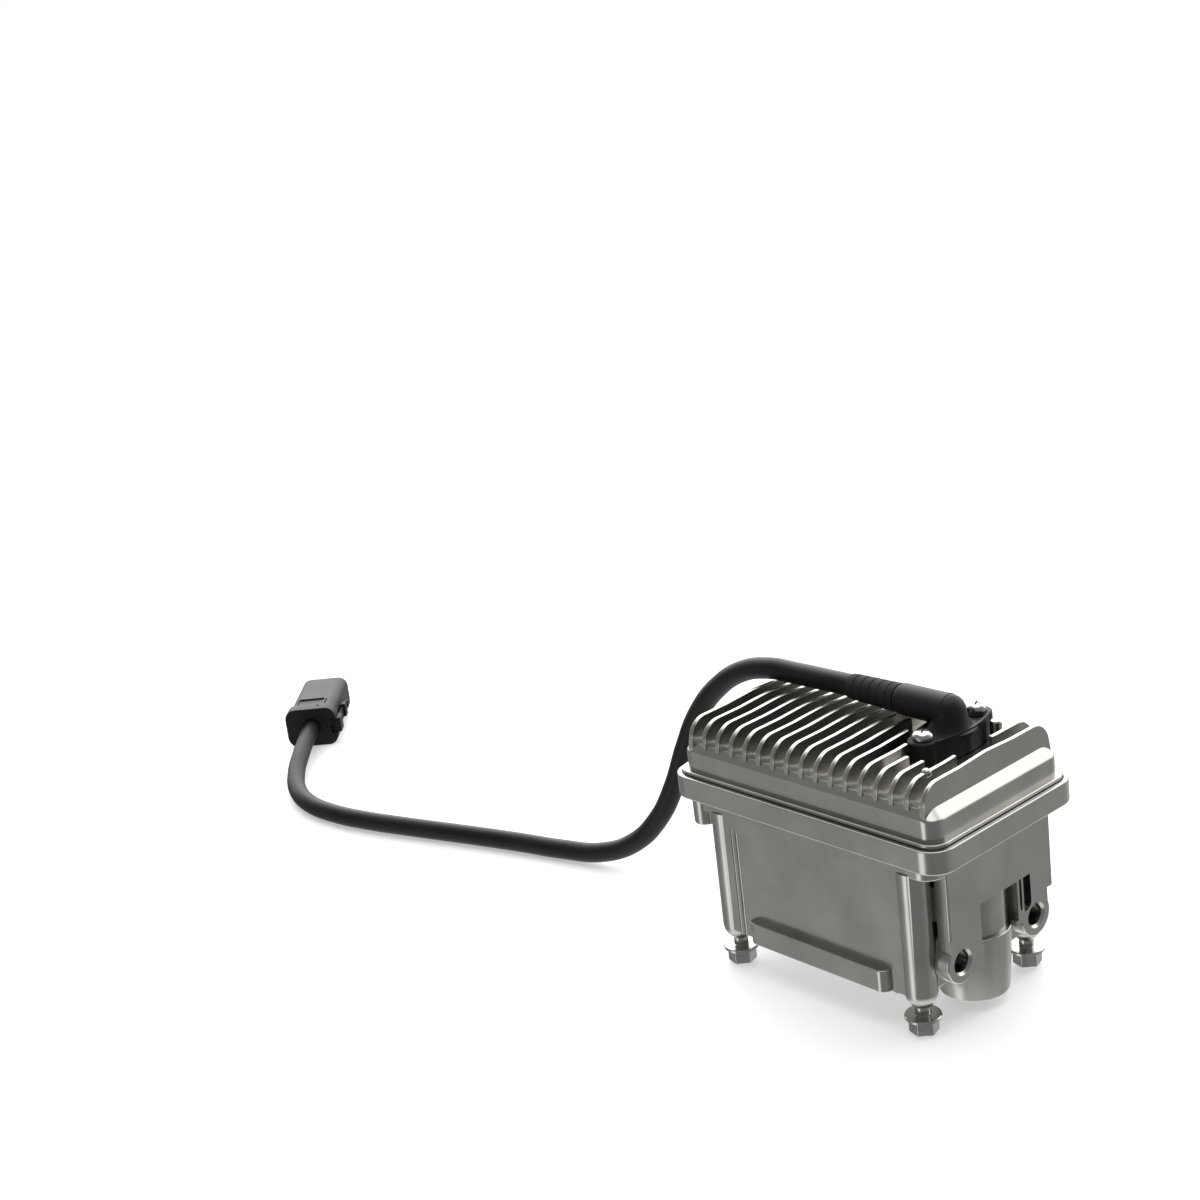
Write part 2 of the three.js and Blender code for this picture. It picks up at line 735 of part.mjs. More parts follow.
// ---------------------------------------------------------------- input gland
function glandBody() {
  const z0 = rimTop + glandSeat + fitGap;
  const z1 = z0 + glandFlangeHeight;
  const axis = sleeveAxis();
  const ears = [-1, 1].map((side) =>
    pin(0, (side * glandScrewSpacing) / 2, z0, z1, glandEarRadius, glandEarRadius, 18));
  const bridge = new THREE.Shape();
  const reach = glandScrewSpacing / 2;
  bridge.moveTo(-glandEarRadius, -reach);
  bridge.quadraticCurveTo(-glandHubRadius - 1.5, 0, -glandEarRadius, reach);
  bridge.lineTo(glandEarRadius, reach);
  bridge.quadraticCurveTo(glandHubRadius + 1.5, 0, glandEarRadius, -reach);
  const plate = solid(raised(bridge, z0, z1, 6));
  const hub = pin(0, 0, z0, axis, glandHubRadius - 1.2, glandSleeveRadius + 1.2);
  const sleeve = rodX(-glandSleeveReach, 0, 0, axis, glandSleeveRadius, glandSleeveRadius);
  const heel = solid(new THREE.SphereGeometry(glandSleeveRadius + 1.1, 14, 9)
    .translate(0, 0, axis));
  const channel = rodX(
    -glandSleeveReach - 1, 0, 0, axis, cableDiameter / 2 + 0.1, cableDiameter / 2 + 0.1, 16);
  const drop = pin(0, 0, z0 - 1, axis, 4.2, 4.2, 16);
  const screwHoles = [-1, 1].map((side) =>
    pin(0, (side * glandScrewSpacing) / 2, z0 - 1, z1 + 1, screwDiameter / 2 + fitGap,
      screwDiameter / 2 + fitGap, 10));
  const sealGroove = cut(
    pin(0, 0, z0 - 1, z0 + 2, 7.9, 7.9), pin(0, 0, z0 - 2, z0 + 3, 5.4, 5.4, 16));
  return cut(join(plate, ...ears, hub, sleeve, heel), channel, drop, sealGroove,
    ...screwHoles);
}

// The sleeve and the strain relief pass just over the fin crests beside them.
function sleeveAxis() {
  const crest = finTop + (finCrown - finTop) * (1 - Math.min(glandY / finCrownReach, 1));
  return rimTop + crest + reliefMouthRadius + 2 * fitGap;
}

place("gland_body", glandBody(), blackPlastic).position.set(glandX, glandY, 0);

const glandSeal = cut(
  pin(0, 0, 0, 1.7, 7.6, 7.6, 16),
  pin(0, 0, -1, 3, 5.7, 5.7, 16),
);
place("gland_seal", glandSeal, blackRubber)
  .position.set(glandX, glandY, rimTop + glandSeat + fitGap);

for (const [side, sign] of [["front", -1], ["rear", 1]]) {
  const seat = rimTop + glandSeat + glandFlangeHeight + 2 * fitGap;
  const screw = cut(
    panScrew(screwHeadDiameter / 2, screwHeadHeight, screwDiameter / 2, glandFlangeHeight + 2),
    crossRecess(2, -screwHeadHeight + 1.2, 0.9),
  );
  const mesh = place(`gland_screw_${side}`, screw, plainSteel);
  mesh.rotation.x = Math.PI;
  mesh.position.set(glandX, glandY + (sign * glandScrewSpacing) / 2, seat);
}

// ---------------------------------------------------------------- strain relief and cable
const reliefMouth = glandX - glandSleeveReach - fitGap;
const reliefTip = reliefMouth - reliefLength;

function strainRelief() {
  const bore = cableDiameter / 2 + 0.1;
  const tipRadius = bore + 0.55;
  const profile = [[bore, 0], [reliefMouthRadius + 0.1, 0]];
  const ribs = 4;
  for (let i = 0; i < ribs; i++) {
    const h0 = 3 + (i * (reliefLength - 4)) / ribs;
    const radius = reliefMouthRadius + ((tipRadius - reliefMouthRadius) * (i + 0.5)) / ribs;
    profile.push([radius + 0.12, h0], [radius + 0.12, h0 + 2.4]);
    profile.push([radius - 0.2, h0 + 2.8], [radius - 0.2, h0 + 3.6]);
  }
  profile.push([tipRadius, reliefLength], [bore, reliefLength], [bore, 0]);
  return lathed(profile, 12);
}
const relief = place("strain_relief", strainRelief(), blackRubber);
relief.rotation.set(0, -Math.PI / 2, 0);
relief.position.set(reliefMouth, glandY, sleeveAxis());

// The lead leaves the strain relief over the fin tops, comes down past the lid's left end
// and lies on the surface that the inverter stands on.
const cableRoute = [
  [-16.6, 13, 110.6],
  [-31, 13, 110.3],
  [-46, 13, 109.9],
  [-60.5, 12.7, 109.3],
  [-75.5, 12, 105.2],
  [-89.5, 10.5, 95.8],
  [-101, 8.5, 82.2],
  [-109.5, 6.5, 65],
  [-117, 4.5, 46.5],
  [-127, 2, 29],
  [-141.5, -1.5, 14.6],
  [-160, -6, 6.6],
  [-181, -11.5, 4.7],
  [-202, -17.5, 4.7],
  [-223, -24, 4.7],
  [-244, -31, 4.7],
  [-265, -38, 4.7],
  [-286, -44.5, 4.7],
  [-307, -49, 4.7],
  [-328, -49.5, 4.8],
  [-347.5, -44, 5.4],
  [-364.5, -33, 7],
  [-379, -19.5, 9.2],
  [-391.5, -7, 10.5],
  [-401.5, 3, 10.7],
];

function cableTube() {
  const curve = new THREE.CatmullRomCurve3(
    cableRoute.map((p) => new THREE.Vector3(...p)), false, "centripetal");
  const section = new THREE.Shape();
  section.absarc(0, 0, cableDiameter / 2, 0, 2 * Math.PI);
  const geometry = new THREE.ExtrudeGeometry(section, {
    steps: 30,
    extrudePath: curve,
    curveSegments: 5,
    bevelEnabled: false,
  });
  return solid(geometry);
}
place("cable", cableTube(), blackRubber);

// ---------------------------------------------------------------- cable connector
// Built along its own +Y, mating face at the far end, then laid on the surface at the
// cable's end. Its broad face looks up and its latch is on the right-hand side.
const connectorGroup = new THREE.Group();
connectorGroup.position.set(-401.5, 3, 0);
connectorGroup.rotation.z = Math.PI / 4;
assembly.add(connectorGroup);
const connectorAxis = collarThickness / 2;

// A rounded bar along Y, centred on the connector's axis.
function barY(width, thickness, radius, y0, y1, segments = 3) {
  const geometry = new THREE.ExtrudeGeometry(
    rectangle(-width / 2, width / 2, -thickness / 2, thickness / 2, radius),
    { depth: y1 - y0, bevelEnabled: false, curveSegments: segments },
  );
  geometry.rotateX(Math.PI / 2).translate(0, y1, connectorAxis);
  return solid(geometry);
}

const backEnd = 0.3;
const collarEnd = backEnd + collarLength;
const shellStart = collarEnd + fitGap;
const shellEnd = shellStart + shellLength;
const mouthDepth = 24;

function connectorShell() {
  const body = barY(shellWidth, shellThickness, 5, shellStart, shellEnd);
  const mouth = barY(
    shellWidth - 2 * shellWall, shellThickness - 2 * shellWall, 3.4, shellEnd - mouthDepth,
    shellEnd + 1);
  const rearBore = barY(10.6, 10.6, 5.2, shellStart - 1, shellEnd - mouthDepth - 4);
  const passage = barY(9, 9, 4.4, shellStart - 1, shellEnd - mouthDepth + 1);
  const window = block(
    -8.5, 5.5, shellStart + 1.2, shellStart + 10.5, connectorAxis + shellThickness / 2 - 0.7,
    connectorAxis + shellThickness / 2 + 1);
  const slot = block(
    6.3, 7.1, shellStart + 1.2, shellStart + 9, connectorAxis + shellThickness / 2 - 0.9,
    connectorAxis + shellThickness / 2 + 1);
  const bridge = block(
    shellWidth / 2 - 1, shellWidth / 2 + 2.8, shellStart + 13.2, shellStart + 18,
    connectorAxis - 3.6, connectorAxis + 3.6);
  const tunnel = block(
    shellWidth / 2 - 0.6, shellWidth / 2 + 1.7, shellStart + 12, shellStart + 19,
    connectorAxis - 2.6, connectorAxis + 2.6);
  const latchChannel = block(
    shellWidth / 2 - 1.3, shellWidth / 2 + 1, shellStart - 1, shellStart + 12.5,
    connectorAxis - 3, connectorAxis + 3);
  return cut(join(body, bridge), mouth, rearBore, passage, window, slot, tunnel, latchChannel);
}
place("connector_shell", connectorShell(), blackPlastic, connectorGroup);

function connectorCollar() {
  const body = barY(collarWidth, collarThickness, 5.6, backEnd, collarEnd);
  const bore = barY(9.6, 9.6, 4.7, backEnd - 1, collarEnd + 1);
  const dimple = pin(4.2, backEnd + 4.6, connectorAxis + collarThickness / 2 - 0.6,
    connectorAxis + 20, 0.8, 0.8, 8);
  const latchSeat = block(
    shellWidth / 2 - 2, 20, backEnd - 1, collarEnd + 1, connectorAxis - 4.4,
    connectorAxis + 4.4);
  return cut(body, bore, dimple, latchSeat);
}
place("connector_collar", connectorCollar(), blackPlastic, connectorGroup);

// A rocking latch: the thumb block is beside the collar, the hook reaches towards the mouth.
function connectorLatch() {
  const x = shellWidth / 2 + fitGap;
  const arm = block(
    x + 0.2, x + 1, backEnd + 2, shellStart + 24, connectorAxis - 2.2, connectorAxis + 2.2);
  const thumb = block(
    x - 0.6, x + 3.2, backEnd + 0.6, collarEnd - 0.4, connectorAxis - 4, connectorAxis + 4);
  const hook = block(
    x + 0.5, x + 2.2, shellStart + 22, shellStart + 24, connectorAxis - 2.2,
    connectorAxis + 2.2);
  return join(arm, thumb, hook);
}
place("connector_latch", connectorLatch(), blackPlastic, connectorGroup);

function connectorInsert() {
  const floor = shellEnd - mouthDepth;
  const body = barY(15.6, 10, 3, floor + fitGap, floor + 17);
  const holes = [-5, 0, 5].map((x) =>
    block(x - 1.6, x + 1.6, floor + 4, floor + 18, connectorAxis - 1.6, connectorAxis + 1.6));
  return cut(body, ...holes);
}
place("connector_insert", connectorInsert(), greyPlastic, connectorGroup);

const faceSeal = cut(
  barY(18.2, 12.4, 4, shellEnd - mouthDepth + 0.4, shellEnd - mouthDepth + 3.4),
  barY(16.2, 10.6, 3.2, shellEnd - mouthDepth - 1, shellEnd - mouthDepth + 6),
);
place("connector_face_seal", faceSeal, blackRubber, connectorGroup);

[-5, 0, 5].forEach((x, i) => {
  const floor = shellEnd - mouthDepth;
  const contact = cut(
    block(x - 1.3, x + 1.3, floor + 4.3, floor + 15, connectorAxis - 1.3, connectorAxis + 1.3),
    block(x - 0.6, x + 0.6, floor + 8, floor + 16, connectorAxis - 0.6, connectorAxis + 0.6),
  );
  place(`connector_contact_${i + 1}`, contact, tinnedBrass, connectorGroup);
});

// ---------------------------------------------------------------- output port
const portInsertTop = portTop - fitGap;
function portInsert() {
  const body = pin(portX, 0, portInsertTop - 6, portInsertTop, portBore / 2 - fitGap,
    portBore / 2 - fitGap, 28);
  const tower = pin(portX, 0, portInsertTop - 16, portInsertTop - 5, 7.4, 7.4);
  const key = block(portX - 1.4, portX + 1.4, 6.5, 8.8, portInsertTop - 16, portInsertTop - 5);
  const holes = portPinPlaces().map(([x, y]) =>
    pin(x, y, portInsertTop - 17, portInsertTop + 1, 1.45, 1.45, 10));
  return cut(join(body, tower, key), ...holes);
}
function portPinPlaces() {
  return [0, 1, 2].map((i) => {
    const angle = (i * 2 * Math.PI) / 3 + Math.PI / 2;
    return [portX + 4 * Math.cos(angle), 4 * Math.sin(angle)];
  });
}
place("port_insert", portInsert(), blackPlastic);

const portSeal = cut(
  pin(portX, 0, portInsertTop - 9.2, portInsertTop - 6.3, portBore / 2 - fitGap,
    portBore / 2 - 2 * fitGap, 24),
  pin(portX, 0, portInsertTop - 10, portInsertTop - 6, 9.2, 9.2),
);
place("port_seal", portSeal, blackRubber);

portPinPlaces().forEach(([x, y], i) => {
  const contact = pin(x, y, portInsertTop - 20, portInsertTop + 2, 1.15, 1.15, 10);
  place(`port_pin_${i + 1}`, contact, tinnedBrass);
});

// ---------------------------------------------------------------- vent
function ventPlug() {
  const x = wallLeft + panelDepth;
  const stem = rodX(
    x - 0.5, cavityLeft + 0.8, 0, ventHeight, ventRadius - fitGap, ventRadius - fitGap, 24);
  const cap = rodX(x - fitGap - 2.6, x - fitGap, 0, ventHeight, 5.6, 6.2, 12);
  return join(stem, cap);
}
place("vent_plug", ventPlug(), blackPlastic);

// ---------------------------------------------------------------- electronics
const underBoard = boardZ - fitGap;
const overBoard = boardZ + boardThickness + fitGap;

function mainBoard() {
  const board = block(
    -boardHalfX, boardHalfX, -boardHalfY, boardHalfY, boardZ, boardZ + boardThickness);
  const holes = corners.map(([, sx, sy]) =>
    pin(sx * boardBossX, sy * boardBossY, boardZ - 1, boardZ + 3, boardScrewHole,
      boardScrewHole, 8));
  return cut(board, ...holes);
}
place("main_board", mainBoard(), boardGreen);

for (const [corner, sx, sy] of corners) {
  const screw = cut(panScrew(2.7, 2, 1.4, 10), crossRecess(1.4, -0.9, 0.6));
  const mesh = place(`board_screw_${corner}`, screw, plainSteel);
  mesh.rotation.x = Math.PI;
  mesh.position.set(sx * boardBossX, sy * boardBossY, overBoard);
}

// An E-shaped ferrite half, back at the bottom, legs upwards.
const coreWidth = 42;
const coreDepth = 28;
const coreHalfHeight = 16;
const coreBack = 5.5;
const coreLeg = 6;
const coreMiddleLeg = 13;
const transformerX = -4;

function coreHalf() {
  const half = coreWidth / 2;
  const middle = coreMiddleLeg / 2;
  const outline = [
    [-half, 0], [half, 0], [half, coreHalfHeight], [half - coreLeg, coreHalfHeight],
    [half - coreLeg, coreBack], [middle, coreBack], [middle, coreHalfHeight],
    [-middle, coreHalfHeight], [-middle, coreBack], [-half + coreLeg, coreBack],
    [-half + coreLeg, coreHalfHeight], [-half, coreHalfHeight],
  ].map(([x, z]) => new THREE.Vector2(x, z));
  const geometry = new THREE.ExtrudeGeometry(new THREE.Shape(outline), {
    depth: coreDepth,
    bevelEnabled: false,
  });
  return solid(geometry.rotateX(Math.PI / 2).translate(0, coreDepth / 2, 0));
}

const coreTop = underBoard - 1;
const lowerCore = place("transformer_core_lower", coreHalf(), ferrite);
lowerCore.position.set(transformerX, 0, coreTop - 2 * coreHalfHeight - fitGap);
const upperCore = place("transformer_core_upper", coreHalf(), ferrite);
upperCore.rotation.y = Math.PI;
upperCore.position.set(transformerX, 0, coreTop);

function winding() {
  const gap = 0.4;
  const z0 = coreTop - 2 * coreHalfHeight - fitGap + coreBack + gap;
  const z1 = coreTop - coreBack - gap;
  const outerX = coreWidth / 2 - coreLeg - gap;
  const innerX = coreMiddleLeg / 2 + gap;
  const innerY = coreDepth / 2 + gap;
  const outerY = innerY + 7;
  return cut(
    slab(transformerX - outerX, transformerX + outerX, -outerY, outerY, 5, z0, z1),
    slab(transformerX - innerX, transformerX + innerX, -innerY, innerY, 0.5, z0 - 1, z1 + 1, 1),
  );
}
place("transformer_winding", winding(), copper);

// Bulk capacitors hang from the board beside the left wall, top up to a domed can end.
const capRadius = 7.8;
const capLength = 30;
const capX = transformerX - coreWidth / 2 - capRadius - 0.5;
[-1, 0, 1].forEach((row, i) => {
  const can = lathed([
    [0, 0], [capRadius - 0.9, 0], [capRadius, 0.9], [capRadius, capLength - 4],
    [capRadius - 0.7, capLength - 3], [capRadius, capLength - 2], [capRadius, capLength - 0.6],
    [0, capLength - 0.6],
  ], 14);
  place(`bulk_capacitor_${i + 1}`, can, canBlue)
    .position.set(capX, row * 16.8, underBoard - capLength);
});

const sideX = transformerX + coreWidth / 2 + 3;
place("film_capacitor",
  slab(sideX, sideX + 17.5, 9, 20, 1.5, underBoard - 17, underBoard, 3), filmYellow);
place("output_relay",
  slab(sideX + 1.5, sideX + 17.5, -6, 6.5, 1, underBoard - 14.5, underBoard, 3), greyPlastic);
const choke = cut(
  pin(sideX + 9.5, -15.9, underBoard - 10, underBoard - 0.6, 9.4, 9.4),
  pin(sideX + 9.5, -15.9, underBoard - 11, underBoard, 4.4, 4.4, 12),
);
place("output_choke", choke, copper);
place("control_board",
  block(transformerX - 15, transformerX + 15, -boardHalfY + 4, -boardHalfY + 5.4,
    underBoard - 22, underBoard), boardGreen);
place("input_terminal", inputTerminal(), greyPlastic);

function inputTerminal() {
  const x0 = boardHalfX - 20;
  const y0 = boardHalfY - 24;
  const body = block(x0, x0 + 16, y0, y0 + 9, overBoard, overBoard + 10);
  const funnels = [0, 1, 2].map((i) =>
    pin(x0 + 3.2 + i * 4.8, y0 + 4.5, overBoard + 4, overBoard + 11, 1.5, 1.7, 8));
  return cut(body, ...funnels);
}

const transistorY = -boardHalfY + 17.5;
[0, 1, 2, 3].forEach((i) => {
  const x = -boardHalfX + 12 + i * 17;
  const body = cut(
    slab(x - 7.8, x + 7.8, transistorY - 10, transistorY + 10, 0.6, overBoard,
      overBoard + transistorHeight, 1),
    pin(x, transistorY + 6, overBoard - 1, overBoard + 6, 1.8, 1.8, 8),
  );
  place(`power_transistor_${i + 1}`, body, ferrite);
});
place("thermal_pad",
  slab(-boardHalfX + 3.5, boardHalfX - 9, transistorY - 10, transistorY + 10, 1,
    padTop() - padHeight, padTop(), 3), padPink);

export default assembly;
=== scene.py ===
# %% [markdown]
# # A micro inverter in Blender
# The real object is a die-cast aluminium tub under a finned lid. Four bolts stand in its
# corners, a round output port hangs from its right end, and a black lead leaves a gland on
# the lid and ends in a latching connector. The CAD model gives every place and size, so this
# lesson loads it first and then builds the looks around it.

# %% Load the frame
import math

import bmesh
import bpy
from mathutils import Matrix, Vector


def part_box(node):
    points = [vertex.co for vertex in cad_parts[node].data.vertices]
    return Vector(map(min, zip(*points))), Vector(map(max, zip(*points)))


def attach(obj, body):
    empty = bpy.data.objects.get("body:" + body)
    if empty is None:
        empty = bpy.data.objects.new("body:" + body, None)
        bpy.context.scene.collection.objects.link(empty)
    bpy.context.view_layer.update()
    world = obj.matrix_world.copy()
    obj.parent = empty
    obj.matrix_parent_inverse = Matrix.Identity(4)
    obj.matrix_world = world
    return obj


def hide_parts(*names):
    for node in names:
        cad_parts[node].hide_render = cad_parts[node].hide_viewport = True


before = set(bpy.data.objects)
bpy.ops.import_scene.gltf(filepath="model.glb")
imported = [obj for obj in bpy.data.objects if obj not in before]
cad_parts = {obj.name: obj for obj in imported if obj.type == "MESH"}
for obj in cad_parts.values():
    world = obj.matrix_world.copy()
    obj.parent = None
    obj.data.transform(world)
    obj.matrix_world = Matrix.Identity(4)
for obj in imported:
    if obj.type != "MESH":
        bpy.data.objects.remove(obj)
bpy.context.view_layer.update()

MM = 0.001

# %% [markdown]
# ## The camera
# The object is seen from the front right, a little from above, with a long lens. A camera can
# be aimed with a constraint, but its tilt is then level. Here the three axes of the view are
# written down as a matrix, because the view is rolled by seven degrees.

# %% The camera
eye = Vector((0.50264, -0.54743, 0.41149))
view_right = Vector((0.67002, 0.73296, -0.11763))
view_up = Vector((-0.16009, 0.29739, 0.94124))
view_back = view_right.cross(view_up)
bpy.ops.object.select_all(action="DESELECT")
bpy.ops.object.camera_add(location=eye)
camera = bpy.context.active_object
camera.name = "view_camera"
axes = Matrix((view_right, view_up, view_back)).transposed().to_4x4()
camera.matrix_world = Matrix.Translation(eye) @ axes
camera.data.lens = 62.385
camera.data.sensor_width = 36
camera.data.clip_start = 0.01
camera.data.clip_end = 50
bpy.context.scene.camera = camera
print("camera stands", round(eye.length, 3), "m from the middle of the rim")

# %% [markdown]
# ## Materials
# Each finish is a Principled shader whose colour and roughness vary a little over the surface
# and whose grain comes from a Bump node. Images would need files and UV maps, so the variation
# comes from Noise textures on Object coordinates, which stay fixed to the piece in every view.

# %% A helper that makes one finish
def finish(name, dark, light, rough, metal=0.0, cloud=60.0, grain=2200.0, relief=0.04,
           gloss=0.5):
    """A surface that drifts between two colours and two roughnesses, with a fine grain."""
    material = bpy.data.materials.new(name)
    material.use_nodes = True
    nodes, links = material.node_tree.nodes, material.node_tree.links
    shader = nodes["Principled BSDF"]
    shader.inputs["Metallic"].default_value = metal
    shader.inputs["Specular IOR Level"].default_value = gloss
    place = nodes.new("ShaderNodeTexCoord")
    drift = nodes.new("ShaderNodeTexNoise")
    drift.inputs["Scale"].default_value = cloud
    drift.inputs["Detail"].default_value = 6.0
    links.new(place.outputs["Object"], drift.inputs["Vector"])
    tint = nodes.new("ShaderNodeValToRGB")
    tint.color_ramp.elements[0].position = 0.36
    tint.color_ramp.elements[0].color = (*dark, 1)
    tint.color_ramp.elements[1].position = 0.64
    tint.color_ramp.elements[1].color = (*light, 1)
    links.new(drift.outputs["Fac"], tint.inputs["Fac"])
    links.new(tint.outputs["Color"], shader.inputs["Base Color"])
    span = nodes.new("ShaderNodeMapRange")
    span.inputs["To Min"].default_value = rough[0]
    span.inputs["To Max"].default_value = rough[1]
    links.new(drift.outputs["Fac"], span.inputs["Value"])
    links.new(span.outputs["Result"], shader.inputs["Roughness"])
    skin = nodes.new("ShaderNodeTexNoise")
    skin.inputs["Scale"].default_value = grain
    skin.inputs["Detail"].default_value = 3.0
    links.new(place.outputs["Object"], skin.inputs["Vector"])
    bump = nodes.new("ShaderNodeBump")
    bump.inputs["Strength"].default_value = relief
    bump.inputs["Distance"].default_value = 0.0002
    links.new(skin.outputs["Fac"], bump.inputs["Height"])
    links.new(bump.outputs["Normal"], shader.inputs["Normal"])
    return material


# %% [markdown]
# The casting is bare aluminium with a satin skin. Bare metal shows its surroundings more than
# its own colour, so its colour is a dark warm grey, and the lamps put the bright lines on it.

# %% The finishes
cast_aluminium = finish("cast_aluminium", (0.40, 0.393, 0.372), (0.455, 0.447, 0.424),
                        (0.2, 0.29), metal=1.0, cloud=45, grain=1800, relief=0.03)
bright_steel = finish("bright_steel", (0.42, 0.415, 0.4), (0.52, 0.515, 0.5),
                      (0.14, 0.24), metal=1.0, cloud=180, grain=3500, relief=0.03)
black_plastic = finish("black_plastic", (0.006, 0.006, 0.0063), (0.009, 0.009, 0.0094),
                       (0.42, 0.55), cloud=90, grain=3200, relief=0.12, gloss=0.22)
black_rubber = finish("black_rubber", (0.008, 0.008, 0.008), (0.013, 0.013, 0.013),
                      (0.6, 0.75), cloud=120, grain=2600, relief=0.15, gloss=0.2)
cable_jacket = finish("cable_jacket", (0.0045, 0.0045, 0.0048), (0.0075, 0.0075, 0.0078),
                      (0.4, 0.52), cloud=70, grain=2400, relief=0.08, gloss=0.2)
grey_plastic = finish("grey_plastic", (0.10, 0.104, 0.108), (0.14, 0.145, 0.15),
                      (0.45, 0.6), cloud=150, grain=3000, relief=0.08)
contact_metal = finish("contact_metal", (0.62, 0.5, 0.27), (0.78, 0.64, 0.36),
                       (0.18, 0.3), metal=1.0, cloud=400, grain=4000, relief=0.03)
board_green = finish("board_green", (0.02, 0.11, 0.045), (0.035, 0.16, 0.07),
                     (0.3, 0.45), cloud=300, grain=2500, relief=0.05)
ferrite_grey = finish("ferrite_grey", (0.028, 0.029, 0.031), (0.045, 0.046, 0.048),
                      (0.6, 0.8), cloud=500, grain=3500, relief=0.12)
winding_copper = finish("winding_copper", (0.45, 0.18, 0.07), (0.66, 0.31, 0.14),
                        (0.25, 0.4), metal=1.0, cloud=700, grain=1200, relief=0.2)
capacitor_sleeve = finish("capacitor_sleeve", (0.02, 0.045, 0.11), (0.035, 0.07, 0.16),
                          (0.25, 0.4), cloud=200, grain=2500, relief=0.05)
film_block = finish("film_block", (0.42, 0.26, 0.035), (0.55, 0.36, 0.06),
                    (0.3, 0.45), cloud=250, grain=2500, relief=0.06)
transistor_case = finish("transistor_case", (0.022, 0.022, 0.024), (0.035, 0.035, 0.037),
                         (0.5, 0.65), cloud=400, grain=4200, relief=0.12)
thermal_silicone = finish("thermal_silicone", (0.38, 0.32, 0.31), (0.5, 0.43, 0.42),
                          (0.7, 0.85), cloud=300, grain=2600, relief=0.1)
print(len(bpy.data.materials), "materials")

# %% [markdown]
# ## Modelling helpers
# Every piece starts as a primitive at its own size and place, in millimetres. The helpers
# below add one, round chosen edges with the bevel operator, and join or cut pieces with a
# Boolean modifier that is applied at once. Each one leaves the object at the origin.

# %% Add a block or a drum
def settle(piece, name):
    """Puts the object's place, turn and size into its mesh."""
    bpy.ops.object.select_all(action="DESELECT")
    piece.select_set(True)
    bpy.context.view_layer.objects.active = piece
    bpy.ops.object.transform_apply(location=True, rotation=True, scale=True)
    piece.name = name
    return piece


def block(name, low, high):
    """A box from one corner to the other."""
    bpy.ops.object.select_all(action="DESELECT")
    middle = [(a + b) / 2 * MM for a, b in zip(low, high)]
    bpy.ops.mesh.primitive_cube_add(size=1, location=middle)
    piece = bpy.context.active_object
    piece.scale = [(b - a) * MM for a, b in zip(low, high)]
    return settle(piece, name)


def drum(name, x, y, z0, z1, r0, r1=None, sides=48):
    """An upright cylinder or cone."""
    bpy.ops.object.select_all(action="DESELECT")
    bpy.ops.mesh.primitive_cone_add(
        vertices=sides, radius1=r0 * MM, radius2=(r0 if r1 is None else r1) * MM,
        depth=(z1 - z0) * MM, location=(x * MM, y * MM, (z0 + z1) / 2 * MM))
    return settle(bpy.context.active_object, name)


def axle(name, x0, x1, y, z, r0, r1=None, sides=48):
    """A cylinder or cone that lies along X, with r0 at x0."""
    bpy.ops.object.select_all(action="DESELECT")
    bpy.ops.mesh.primitive_cone_add(
        vertices=sides, radius1=r0 * MM, radius2=(r0 if r1 is None else r1) * MM,
        depth=(x1 - x0) * MM, location=((x0 + x1) / 2 * MM, y * MM, z * MM),
        rotation=(0, math.pi / 2, 0))
    return settle(bpy.context.active_object, name)


# %% Round chosen edges
def soften(piece, chosen, width, segments=3):
    """Bevels the edges for which chosen(start, end) is true, both in millimetres."""
    bpy.ops.object.select_all(action="DESELECT")
    bpy.context.view_layer.objects.active = piece
    bpy.ops.object.mode_set(mode="EDIT")
    bpy.ops.mesh.select_mode(type="EDGE")
    bpy.ops.mesh.select_all(action="DESELECT")
    shape = bmesh.from_edit_mesh(piece.data)
    for edge in shape.edges:
        start, end = (v.co / MM for v in edge.verts)
        if chosen(start, end):
            edge.select_set(True)
    bmesh.update_edit_mesh(piece.data)
    bpy.ops.mesh.bevel(offset=width * MM, offset_type="OFFSET", segments=segments,
                       affect="EDGES", clamp_overlap=True)
    bpy.ops.object.mode_set(mode="OBJECT")
    return piece


def upright(start, end):
    return abs(start.z - end.z) > 0.9 * (start - end).length


def at_height(z):
    return lambda start, end: abs(start.z - z) < 0.01 and abs(end.z - z) < 0.01


def slab(name, low, high, radius, top=0.0, bottom=0.0, segments=8):
    """A block with rounded corners, and softened top and bottom edges."""
    piece = soften(block(name, low, high), upright, radius, segments)
    if top:
        soften(piece, at_height(high[2]), top)
    if bottom:
        soften(piece, at_height(low[2]), bottom)
    return piece


# %% Turn a piece from a profile
def turned(name, profile, sides=48, closed=False):
    """Extrudes and resizes a circle along (radius, height) stations, about the Z axis."""
    bpy.ops.object.select_all(action="DESELECT")
    first = profile[0]
    bpy.ops.mesh.primitive_circle_add(vertices=sides, radius=first[0] * MM)
    piece = bpy.context.active_object
    bpy.ops.object.mode_set(mode="EDIT")
    bpy.ops.mesh.select_all(action="SELECT")
    bpy.ops.transform.translate(value=(0, 0, first[1] * MM))
    if not closed:
        bpy.ops.mesh.edge_face_add()
    for (r0, h0), (r1, h1) in zip(profile, profile[1:]):
        bpy.ops.mesh.extrude_region_move(
            TRANSFORM_OT_translate={"value": (0, 0, (h1 - h0) * MM)})
        bpy.ops.transform.resize(value=(r1 / r0, r1 / r0, 1), center_override=(0, 0, 0))
    bpy.ops.mesh.select_all(action="SELECT")
    bpy.ops.mesh.remove_doubles(threshold=0.000005)
    bpy.ops.mesh.normals_make_consistent(inside=False)
    bpy.ops.object.mode_set(mode="OBJECT")
    piece.name = name
    return piece


